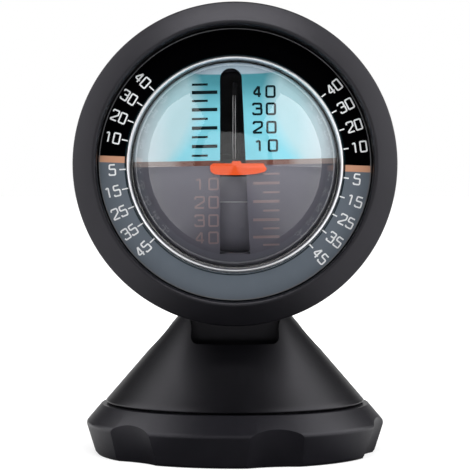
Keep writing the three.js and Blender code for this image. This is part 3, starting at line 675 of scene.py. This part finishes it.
def trim_ring():
    """A thin upright ring with a rounded front edge"""
    front_edge = arc(0.45, 0, 180, 10, middle_radius=23.7, middle_height=0.25)
    return turned("trim_ring_polished", [(23.25, -3.2), (24.15, -3.2), *front_edge, (23.25, -3.2)], 192)


settle(front_bezel(), DIAL, "head", black_plastic, ["front_bezel"])
settle(dial_ring(), DIAL, "head", dial_finish, ["dial_ring"])
trim_piece = settle(trim_ring(), DIAL, "head", polished, ["dome_trim_ring"])

# Digits, as lines through shares of their width and height
DIGITS = {
    "0": [[(0.5, 0), (0, 0), (0, 1), (1, 1), (1, 0), (0.5, 0)]],
    "1": [[(0.12, 0.84), (0.55, 1), (0.55, 0)]],
    "2": [[(0, 0.78), (0, 1), (1, 1), (1, 0.58), (0, 0.1), (0, 0), (1, 0)]],
    "3": [
        [(0, 0.82), (0, 1), (0.96, 1), (0.96, 0.54), (0.3, 0.54)],
        [(0.8, 0.54), (1, 0.54), (1, 0), (0, 0), (0, 0.18)],
    ],
    "4": [[(0.7, 1), (0, 0.27), (1, 0.27)], [(0.75, 1), (0.75, 0)]],
    "5": [[(0.94, 1), (0.06, 1), (0.02, 0.57), (1, 0.57), (1, 0), (0, 0), (0, 0.16)]],
}


def ribbon(points, stroke, thick, corner, longest=100.0):
    """A printed stroke along a line, with rounded corners"""
    rounds = [corner] * (len(points) - 2)
    piece = line("stroke", [(x, y, 0) for x, y in stepped(softened(points, rounds, 3), longest)])
    open_up(piece)
    bpy.ops.mesh.remove_doubles(threshold=WELD)
    bpy.ops.mesh.extrude_edges_move(TRANSFORM_OT_translate={"value": (0, 0, thick * MM)})
    shut()
    apply_modifier(piece, "SOLIDIFY", thickness=stroke * MM, offset=0, use_even_offset=True)
    open_up(piece)
    bpy.ops.mesh.normals_make_consistent(inside=False)
    shut()
    return piece


def merged(name, pieces):
    """Joins pieces into one object"""
    bpy.ops.object.select_all(action="DESELECT")
    for piece in pieces:
        piece.select_set(True)
    bpy.context.view_layer.objects.active = pieces[0]
    if len(pieces) > 1:
        bpy.ops.object.join()
    whole = bpy.context.view_layer.objects.active
    whole.name = name
    return whole


def digit_set(width, height, stroke, thick, longest=100.0):
    """Every digit once, its middle at the origin"""
    made = {}
    for digit, strokes in DIGITS.items():
        ribbons = []
        for points in strokes:
            placed = [((x - 0.5) * (width - stroke), (y - 0.5) * (height - stroke)) for x, y in points]
            ribbons.append(ribbon(placed, stroke, thick, stroke * 0.7, longest))
        made[digit] = merged("digit_" + digit, ribbons)
    return made


def copy_of(piece):
    copy = piece.copy()
    copy.data = piece.data.copy()
    bpy.context.scene.collection.objects.link(copy)
    return copy


def discard(pieces):
    for piece in pieces:
        bpy.data.objects.remove(piece)


def number(digits, text, pitch):
    """A number set from copies of the digits, its middle at the origin"""
    copies = []
    for i, digit in enumerate(text):
        copy = copy_of(digits[digit])
        copies.append(moved(copy, Matrix.Translation(((i - (len(text) - 1) / 2) * pitch * MM, 0, 0))))
    return merged("number_" + text, copies)


def dial_numbers():
    """Ticks and numbers on the dial. Those on the left read inwards and those on the right read outwards."""
    digits = digit_set(width=1.68, height=2.6, stroke=0.33, thick=DIAL_INK)
    digit_pitch, tick_start, tick_end, end_shift = 1.88, 24.32, 25.6, 0.12
    pieces = []
    for side in (-1, 1):
        for degrees in (10, 20, 30, 40, -5, -15, -25, -35, -45):
            text = str(abs(degrees))
            radius = 27.84 if len(text) == 2 else 27.3
            turn = rotated(side * degrees + DIAL_TURN, "Z")
            place = turn @ Matrix.Translation((side * radius * MM, 0, 0))
            pieces.append(moved(number(digits, text, digit_pitch), place))
            ends = [(side * tick_start, 0), (side * tick_end - end_shift, 0)]
            pieces.append(moved(ribbon(ends, stroke=0.28, thick=DIAL_INK, corner=0), turn))
    discard(digits.values())
    return merged("dial_numbers", pieces)


def flat_ring(name, inner, outer, low, high):
    """A thin ring between two radii"""
    return turned(name, [(inner, low), (inner, high), (outer, high), (outer, low), (inner, low)], 160)


settle(dial_numbers(), DIAL, "head", white_ink)
# Painted highlight: a thin grey line along the dial's outer edge, standing in for the lit inner wall of the
# bezel
dial_painted_edge_highlight = flat_ring("dial_painted_edge_highlight", 30.06, 30.24, -0.2, 0.03)
settle(dial_painted_edge_highlight, DIAL, "head", painted_edge_highlight_grey)
# Painted shadow: a thin dark ring on the dial, set a little low so that it shows widest below the trim ring,
# where the ring's shadow falls
groove = flat_ring("trim_ring_painted_shadow", 24.3, 24.54, -0.1, 0.02)
moved(groove, Matrix.Translation((0, -0.2 * MM, 0)))
settle(groove, DIAL, "head", dark_ink)


# Ball, with its marks and its slot
def through_dome(x, y, lift=0.0):
    """The place on the ball that the dome and its liquid show at a pixel of the photograph"""
    right, up = x - BALL_PIXEL[0], BALL_PIXEL[1] - y
    away = max(math.hypot(right, up), 1e-9)
    view = math.atan(away / FOCAL_PIXELS)
    reach = math.sin(view) * (CAMERA_BACK + BALL_MIDDLE[1])
    into = math.asin(reach / DOME_RADIUS)
    bent = math.asin(reach / DOME_RADIUS / LIQUID_INDEX)
    onto = math.asin(reach / BALL_RADIUS / LIQUID_INDEX)
    angle = into - bent + onto - view
    size = (BALL_RADIUS + lift) * MM
    sideways = math.sin(angle)
    return Vector((sideways * right / away * size, sideways * up / away * size, math.cos(angle) * size))


def laid_on_ball(piece, x, y, turn=0.0):
    """Bends a mark, drawn flat in the photograph's pixels, round the ball where the photograph shows it"""
    moved(piece, rotated(turn, "Z"))
    for vertex in piece.data.vertices:
        right, up, lift = vertex.co / MM
        vertex.co = through_dome(x + right, y - up, lift)
    return piece


def ball_tick(left, right, y, stroke):
    """One line of the pitch scale, in pixels of the photograph"""
    half = (right - left) / 2
    tick = ribbon([(-half, 0), (half, 0)], stroke, BALL_INK, corner=0, longest=3)
    return laid_on_ball(tick, (left + right) / 2, y, BALL_TICK_TURN)


# How far the lines of the pitch scale are from the horizon, and how long a digit's chord may be, in pixels
SCALE_ROWS = {5: 9.1, 10: 18.4, 15: 27.6, 20: 36.7, 25: 45.8, 30: 55.0, 35: 63.7, 40: 72.2, 45: 80.0}
LONGEST_CHORD = 1.6


def upper_marks():
    """The dark scale on the sky, in pixels: ticks left of the slot and numbers right of it"""
    digits = digit_set(10.3, 12.7, 2.1, BALL_INK, LONGEST_CHORD)
    pieces = []
    for degrees, rise in SCALE_ROWS.items():
        tens = degrees % 10 == 0
        end, stroke = (217.4, 3.3) if tens else (207.8, 2.1)
        pieces.append(ball_tick(192.0, end, 164.8 - rise, stroke))
        if tens:
            middle = (263.6 if degrees > 10 else 264.6) + (40 - degrees) * 0.05
            text = number(digits, str(degrees), 13.6)
            pieces.append(laid_on_ball(text, middle, 164.0 - rise, BALL_NUMBER_TURN))
    discard(digits.values())
    return merged("ball_marks_upper", pieces)


def lower_marks():
    """The pale scale on the ground, in pixels: numbers left of the slot and ticks right of it"""
    digits = digit_set(10.4, 12.6, 1.7, BALL_INK, LONGEST_CHORD)
    pieces = []
    for degrees, drop in SCALE_ROWS.items():
        tens = degrees % 10 == 0
        start, stroke = (253.2, 2.6) if tens else (263.2, 1.8)
        pieces.append(ball_tick(start, 279.4, 164.6 + drop, stroke))
        if tens:
            text = number(digits, str(degrees), 13.9)
            pieces.append(laid_on_ball(text, 206.6, 165.6 + drop, BALL_NUMBER_TURN))
    discard(digits.values())
    return merged("ball_marks_lower", pieces)


def slot_points():
    """The slot's outline on the ball's front, in mm, with a round end above and left of the middle"""
    half_width, top, bottom, end_round, end_middle = 3.1, 19.478, -18.819, 2.25, -0.85
    points = [(-half_width, bottom), (half_width, bottom)]
    for degrees in range(0, 181, 9):
        angle = math.radians(degrees)
        height = top - end_round + end_round * math.sin(angle)
        points.append((end_middle + end_round * math.cos(angle), height))
    return points


def ball_shell():
    """The front half of the ball, hollow and slotted"""
    outer_end = -math.degrees(math.asin(BALL_FRONT_END / BALL_RADIUS))
    inner_end = -math.degrees(math.asin(BALL_FRONT_END / BALL_INSIDE))
    outline = [*arc(BALL_RADIUS, 90, outer_end, 56), *arc(BALL_INSIDE, inner_end, 90, 56)]
    return cut(turned("ball_shell_front", outline, 160), slab("slot_cutter", slot_points(), 6.7, 24))


settle(ball_shell(), CAPSULE, "rotor", ball_print_and_painted_light_finish, ["rotor_front"])
settle(upper_marks(), LEVEL, "rotor", dark_ink)
settle(lower_marks(), LEVEL, "rotor", rose_ink)


# Pendulum: plate, weight and pointer, drawn about the ball's middle
POINTER_FRONT = 21.575
POINTER_BACK = 20.975
PLATE_HALF = 0.45
WEIGHT_RADIUS = 16.8
WEIGHT_TOP = 6.8
WEIGHT_HALF_WIDTH = 3
WEIGHT_SET_BACK = 2.3


def pointer():
    """A bar between two balls, with a raised middle"""
    outline = [(-4.6, 0.32), (-0.7, 0.32), (-0.55, 0.82), (1.15, 0.82), (1.35, 0.32), (5.9, 0.32)]
    outline += [(6.72, -0.85), (6.25, -1.42), (4.5, -1.88), (2.2, -2.08), (0, -2.15), (-2.6, -2.12)]
    outline += [(-4.3, -1.98), (-5.05, -1.45), (-5.25, -0.75), (-5.18, -0.1)]
    piece = ball("pointer", POINTER_FRONT, 160)
    combine(piece, "INTERSECT", slab("pointer_shape", outline, 10, 24))
    cut(piece, ball("pointer_back", POINTER_BACK, 128))
    return soften_edges(piece, 0.16, 3, 40)


def pitch_plate():
    """The thin plate on the axle: a fan behind the slot, a tongue to the pointer and the weight's stem"""
    low, high = -PLATE_HALF, PLATE_HALF
    fan = [(18.4 * math.cos(math.radians(a)), 18.4 * math.sin(math.radians(a))) for a in range(-2, 63, 2)]
    plate = slab("pitch_arm", [(0, 0), *fan], low, high)
    combine(plate, "UNION", block("tongue", (0, -1.85, low), (20.675, -0.05, high)))
    combine(plate, "UNION", block("stem", (-2, -11.9, low), (2, 0, high)), rod("hub", 3.6, low, high, 48))
    cut(plate, rod("hub_bore", 2.2, -1, 1, 48))
    return soften_edges(edgewise(plate), 0.12, 2, 40)


def pitch_weight():
    """A segment set back a little, with the shield in front that closes the slot up to the pointer"""
    corner = math.degrees(math.asin(WEIGHT_TOP / WEIGHT_RADIUS))
    segment = arc_points(WEIGHT_RADIUS, corner - 180, -corner, 48)
    weight = slab("pitch_bob", segment, -WEIGHT_HALF_WIDTH, WEIGHT_HALF_WIDTH)
    soften_edges(weight, 0.15, 3, 40)
    moved(weight, rotated(-WEIGHT_SET_BACK, "Z"))
    shield = arc_points(16.4, -8.06, -33, 16) + arc_points(15.4, -33, -8.6, 16)
    combine(weight, "UNION", slab("shield", shield, -WEIGHT_HALF_WIDTH, WEIGHT_HALF_WIDTH))
    cut(weight, block("groove", (-2.3, -10.7, -0.75), (2.3, -5, 0.75)))
    return edgewise(weight)


settle(pointer(), LEVEL, "pendulum", pointer_plastic, ["pointer_bar"])
settle(pitch_plate(), LEVEL, "pendulum", arm_plastic, ["pitch_plate"])
settle(pitch_weight(), LEVEL, "pendulum", weight_paint, ["pitch_weight"])


def arm_lines():
    """Two painted highlight lines along the thin plate's front edges, a little right of the middle as in the
    photograph
    """
    half = 0.045
    edges = []
    for side in (-0.06, 0.42):
        outline = [*arc_points(18.42, 4, 49, 30), *arc_points(18.2, 49, 4, 30)]
        edges.append(edgewise(slab("arm_painted_highlight", outline, side - half, side + half)))
    return merged("arm_painted_highlights", edges)


def weight_line():
    """A painted highlight: the bright line across the shield of the weight, standing in for light caught by
    the weight's edge
    """
    outline = [(14.5, -7.48), (14.72, -7.48), (14.84, -7.26), (14.5, -7.26)]
    return edgewise(slab("weight_line", outline, -2.9, 2.9))


settle(arm_lines(), LEVEL, "pendulum", painted_highlight_ink)
# White ink here paints a highlight line, not print
settle(weight_line(), LEVEL, "pendulum", white_ink)


# Dome, with the liquid that fills the capsule behind it
def dome():
    """The dome in front, its flange, and the round back of the liquid"""
    back = -DOME_FLANGE_THICK
    back_start = -math.degrees(math.asin(DOME_FLANGE_THICK / DOME_INSIDE))
    outline = [*arc(DOME_RADIUS, 90, 0, 56), (DOME_FLANGE, 0), (DOME_FLANGE, back), (DOME_INSIDE, back)]
    outline += arc(DOME_INSIDE, back_start, -90, 48)[1:]
    return turned("dome_and_liquid", outline, 192)


dome_piece = settle(dome(), CAPSULE, "head", clear, ["clear_dome"], smooth=40)


# Head: the housing behind the bezel, with the neck and knuckle it stands on
def at_pivot(name, radius, left, right):
    """A round cutter along the pivot, from left to right"""
    return moved(across(rod(name, radius, left, right, 48)), AT_PIVOT)


def housing_arc(room=0.0):
    """The housing's rounded back, with room round it"""
    depth = 25.95 / math.sin(math.radians(HOUSING_SWEEP)) + room
    return arc(HEAD_RADIUS + room, 0, -HOUSING_SWEEP, 36, middle_height=HOUSING_FRONT, half_height=depth)


def rear_housing():
    """The rounded shell and its lip in the bezel, with the neck and the knuckle grown on below"""
    lip = HOUSING_FRONT + 2
    inner = arc(HOUSING_BORE, -90, 0, 36, middle_height=HOUSING_FRONT, half_height=24.15)
    outline = [(HOUSING_RIM, HOUSING_FRONT), *housing_arc(), (0, HOUSING_BACK), *inner]
    outline += [(HOUSING_BORE, lip), (HOUSING_RIM, lip), (HOUSING_RIM, HOUSING_FRONT)]
    shell = moved(turned("rear_shell", outline, 160), DIAL)
    hollow = moved(turned("hollow", [*inner, (HOUSING_BORE, 0), (0, 0), inner[0]], 160), DIAL)
    neck = block("neck", (-NECK_HALF_WIDTH, -5.2, 0), (NECK_HALF_WIDTH, 5.2, 22.02))
    knuckle = across(rod("knuckle", 7, -NECK_HALF_WIDTH, NECK_HALF_WIDTH, 96))
    soften_edges(knuckle, 0.3, 3)
    moved(combine(neck, "UNION", knuckle), NECK)
    cut(neck, hollow)
    combine(shell, "UNION", neck)
    return cut(shell, at_pivot("pivot_bore", BOLT_BORE, -12, 12))


housing_piece = settle(
    rear_housing(), UPRIGHT, "head", black_plastic, ["rear_housing"], smooth=35
)


# Cone with its slot, and the pivot bolt and nut in its ears
def cone():
    """The slotted cone. Its ears are hollowed a little where the housing comes when the head nods forward."""
    outline = [(0, 5.2), (28.9, 5.2), (28.9, 8.2), (27.3, 8.2), (27.3, 11.8), (30.1, 11.8)]
    outline = softened([*outline, (11.4, 33.5), (0, 33.5)], (0, 0, 0, 0, 0.35, 1.2), 5)
    # The long slope is drawn in short steps, which keeps its faces small
    slope = max(range(len(outline) - 1), key=lambda i: outline[i + 1][1] - outline[i][1])
    (wide, low), (narrow, high) = outline[slope], outline[slope + 1]
    rings = [(wide + (narrow - wide) * i / 20, low + (high - low) * i / 20) for i in range(1, 20)]
    piece = turned("cone_shell", [*outline[:slope + 1], *rings, *outline[slope + 1:]], 192)
    inside = [(7.6, 4), (24.3, 4), (24.3, 8.2), (18.7, 13.4), (7.6, 13.4), (7.6, 4)]
    hollow = turned("cone_hollow", inside, 96)
    left, right, slot_floor, above = -WELL_HALF_WIDTH, WELL_HALF_WIDTH, 26.1, 40
    slot = softened([(left, above), (left, slot_floor), (right, slot_floor), (right, above)], (1.4, 1.4), 8)
    slot_cutter = forward(slab("slot_cutter", slot, -40, 40))
    well = block("well", (left, -8.3, 16.2), (right, 8.3, above))
    bolt_seat = at_pivot("bolt_seat", 3.3, BOLT_SEAT, 32)
    nut_seat = at_pivot("nut_seat", 3.5, -32, -BOLT_SEAT)
    bolt_hole = at_pivot("bolt_hole", BOLT_BORE, -20, 20)
    cut(piece, hollow, slot_cutter, well, bolt_seat, nut_seat, bolt_hole)
    cut(piece, rod("post_bore", 5.3, 4, 13.4, 48), rod("screw_hole", 2.2, 12, 18, 32))
    soften_edges(piece, 0.22, 2, 34)
    nodding = AT_PIVOT @ rotated(HEAD_NOD, "X") @ AT_PIVOT.inverted()
    relief = turned("nod_relief", [(0, HOUSING_FRONT), *housing_arc(0.12), (0, HOUSING_BACK)], 160)
    return cut(piece, moved(relief, nodding @ DIAL))


def pivot_bolt():
    """A bolt with a round head and a hexagon socket"""
    outline = [(0, -14.2), (1.75, -14.2), (1.75, BOLT_SEAT), (3, BOLT_SEAT), (3, 14), (0, 14)]
    piece = turned("pivot_bolt_fine", softened(outline, (0.3, 0, 0.1, 0.3), 3), 64)
    socket = turned("socket", [(0, 12.9), (1.4, 12.9), (1.4, 15), (0, 15)], 6)
    return across(cut(piece, socket))


def pivot_nut():
    """A hexagon nut, flush with the bolt's end"""
    piece = turned("pivot_nut_fine", [(0, -14.2), (3.2, -14.2), (3.2, -BOLT_SEAT), (0, -BOLT_SEAT)], 6)
    cut(piece, rod("nut_bore", BOLT_BORE, -16, -11, 48))
    return soften_edges(across(piece), 0.15, 2)


cone_piece = settle(cone(), UPRIGHT, "swivel", black_plastic, ["cone_mount"], smooth=35)
settle(pivot_bolt(), AT_PIVOT, "swivel", steel, ["pivot_bolt"])
settle(pivot_nut(), AT_PIVOT, "swivel", steel, ["pivot_nut"])

# Foot ring, with its finger scallops
SCALLOPS = 6
SCALLOP_FIRST = 16
SCALLOP_RADIUS = 18.2
SCALLOP_LEAN = 19.3
SCALLOP_DISTANCE = 51.88
SCALLOP_HEIGHT = 7.1


def foot_ring():
    """A ring that widens upwards to its crest, with scallops that lean with its wall"""
    outline = [(29.2, 3), (29.2, 0.08), (31.75, 0.08), (32.25, 0.7), (34.34, 7.3)]
    outline += [(30.75, 11.5), (27.6, 11.5), (27.6, 8.5), (29.2, 8.5), (29.2, 3)]
    piece = turned("foot_ring", softened(outline, (0, 0.15, 0.4, 1.3, 0.35, 0.2, 0, 0), 8), 240)
    scallop = moved(rod("scallop", SCALLOP_RADIUS, -14, 14, 128), rotated(SCALLOP_LEAN, "X"))
    moved(scallop, Matrix.Translation((0, -SCALLOP_DISTANCE * MM, SCALLOP_HEIGHT * MM)))
    scallops = []
    for i in range(SCALLOPS):
        scallops.append(moved(copy_of(scallop), rotated(SCALLOP_FIRST + 360 / SCALLOPS * i, "Z")))
    cut(piece, *scallops)
    discard([scallop])
    return soften_edges(piece, 0.35, 3, 12)


ring_piece = settle(foot_ring(), UPRIGHT, "clamp", ring_plastic, ["lock_ring"], smooth=35)

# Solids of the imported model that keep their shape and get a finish
KEPT = {
    "adhesive_pad": foam,
    "base_plate": inner_plastic,
    "swivel_washer": fibre,
    "swivel_screw": steel,
    "swivel_screw_washer": steel,
    "friction_washer_left": fibre,
    "friction_washer_right": fibre,
    "capsule_carrier": inner_plastic,
    "carrier_screw_1": steel,
    "carrier_screw_2": steel,
    "carrier_screw_3": steel,
    "carrier_screw_4": steel,
    "seal_ring": rubber,
    "capsule_cup": inner_plastic,
    "filler_plug": brass,
    "roll_shaft": steel,
    "rotor_rear": ball_plastic,
    "rotor_bush": brass,
    "roll_weight": weight_paint,
    "pitch_axle": steel,
    "pitch_bush": inner_plastic,
}
for name, finish in KEPT.items():
    for material_slot in nodes[name].material_slots:
        material_slot.material = finish


# Floor, room and lamps
def floor():
    """A pale floor that looks white, and that glossy pieces mirror as dark in front and white elsewhere"""
    bpy.ops.object.select_all(action="DESELECT")
    bpy.ops.mesh.primitive_plane_add(size=8)
    ground = bpy.context.object
    ground.name = "floor"
    finish, tree, shader = new_finish("pale floor", Roughness=0.8, Specular_IOR_Level=0.1)
    place = node(tree, "ShaderNodeTexCoord").outputs["Object"]
    split = node(tree, "ShaderNodeSeparateXYZ")
    join(tree, place, split.inputs[0])
    paper = node(tree, "ShaderNodeTexNoise", Scale=900.0, Detail=3)
    join(tree, place, paper.inputs["Vector"])
    pale = blend(tree, paper.outputs["Fac"], (0.5, 0.5, 0.5), (0.54, 0.54, 0.54))
    behind = ramp(tree, split.outputs["Y"], 0.0, 0.15)
    way = node(tree, "ShaderNodeLightPath")
    mirrored = way.outputs["Is Glossy Ray"]
    aside = ramp(tree, math_step(tree, "ABSOLUTE", split.outputs["X"], 0.0), 0.025, 0.06)
    open_side = math_step(tree, "MAXIMUM", behind, aside)
    front = math_step(tree, "MULTIPLY", mirrored, math_step(tree, "SUBTRACT", 1.0, open_side))
    join(tree, blend(tree, front, pale, (0.01, 0.01, 0.01)), shader.inputs["Base Color"])
    seen = math_step(tree, "MAXIMUM", way.outputs["Is Camera Ray"], way.outputs["Is Transmission Ray"])
    seen = math_step(tree, "MAXIMUM", seen, math_step(tree, "MULTIPLY", mirrored, open_side))
    away = node(tree, "ShaderNodeVectorMath", operation="LENGTH")
    join(tree, place, away.inputs[0])
    glow = math_step(tree, "MULTIPLY", seen, ramp(tree, away.outputs["Value"], 0.05, 0.25, 0.55, 1.0))
    join(tree, blend(tree, glow, (0, 0, 0), (1, 1, 1)), shader.inputs["Emission Color"])
    shader.inputs["Emission Strength"].default_value = 1.0
    ground.data.materials.append(finish)


def room():
    """A white backdrop behind the object, in a room that gives an even, dim light"""
    world = bpy.data.worlds.new("room")
    bpy.context.scene.world = world
    world.use_nodes = True
    tree = world.node_tree
    tree.nodes.clear()
    facing = node(tree, "ShaderNodeVectorMath", operation="DOT_PRODUCT")
    join(tree, node(tree, "ShaderNodeTexCoord").outputs["Generated"], facing.inputs[0])
    facing.inputs[1].default_value = (0, 1, 0)
    backdrop = ramp(tree, facing.outputs["Value"], 0.9, 0.96)
    way = node(tree, "ShaderNodeLightPath")
    seen = math_step(tree, "MAXIMUM", way.outputs["Is Glossy Ray"], way.outputs["Is Transmission Ray"])
    elsewhere = math_step(tree, "MULTIPLY", seen, math_step(tree, "SUBTRACT", 1.0, backdrop))
    white = math_step(tree, "MULTIPLY", seen, backdrop)
    white = math_step(tree, "MAXIMUM", white, way.outputs["Is Camera Ray"])
    level = blend(tree, elsewhere, (0.3, 0.3, 0.3), (0.03, 0.03, 0.03))
    level = blend(tree, white, level, (1, 1, 1))
    plain = node(tree, "ShaderNodeBackground", Strength=1.0)
    join(tree, level, plain.inputs["Color"])
    join(tree, plain.outputs[0], node(tree, "ShaderNodeOutputWorld").inputs["Surface"])


def lamp(name, place, aim, size, level, roll=0.0):
    """A panel whose face is level times as bright as white"""
    bpy.ops.object.light_add(type="AREA", location=place)
    light = bpy.context.object
    light.name = name
    light.data.shape = "RECTANGLE"
    light.data.size, light.data.size_y = size
    light.data.energy = math.pi * size[0] * size[1] * level
    facing = (Vector(aim) - Vector(place)).to_track_quat("-Z", "Y").to_matrix()
    light.rotation_euler = (facing @ Matrix.Rotation(math.radians(roll), 3, "Z")).to_euler()
    light.visible_camera = False
    return light


def keep_on(light, pieces, state="INCLUDE"):
    """Keeps a lamp to some pieces"""
    group = bpy.data.collections.new(light.name + "_pieces")
    for piece in pieces:
        group.objects.link(piece)
    light.light_linking.receiver_collection = group
    for placed in group.collection_objects:
        placed.light_linking.link_state = state


def keep_off(light, pieces):
    """Keeps a lamp off some pieces"""
    keep_on(light, pieces, "EXCLUDE")


floor()
room()
FRONT_SIZE = (1.5, 0.72)
lamp("left_panel", (-0.6, -0.13, 0.525), (0, -0.13, 0.525), (0.96, 0.95), level=2.4)
lamp("right_panel", (0.6, -0.17, 0.525), (0, -0.17, 0.525), (1.04, 0.95), level=2.8)
front_panel = lamp("front_panel", (0, -1.0, 0.42), (0, 0, 0.42), FRONT_SIZE, level=0.75)
keep_off(front_panel, (housing_piece, cone_piece))
front_sheen = lamp("front_sheen", (0, -1.02, 0.42), (0, 0, 0.42), FRONT_SIZE, level=1.5, roll=-12)
keep_on(front_sheen, [dome_piece])
top_panel = lamp("top_panel", (0, -0.42, 0.64), (0, -0.02, 0.066), (0.5, 0.3), level=7.2)
keep_off(top_panel, (dome_piece, trim_piece, housing_piece, cone_piece, ring_piece))

# Camera
view = bpy.data.cameras.new("camera")
view.sensor_width = SENSOR_WIDTH
view.lens = FOCAL_PIXELS * SENSOR_WIDTH / PHOTO_SIDE
camera = bpy.data.objects.new("camera", view)
bpy.context.scene.collection.objects.link(camera)
camera.location = Vector((0, -CAMERA_BACK, CAMERA_HEIGHT)) * MM
camera.rotation_euler = (math.radians(90 - CAMERA_DIP), 0, 0)
bpy.context.scene.camera = camera
bpy.context.scene.view_settings.view_transform = "Standard"
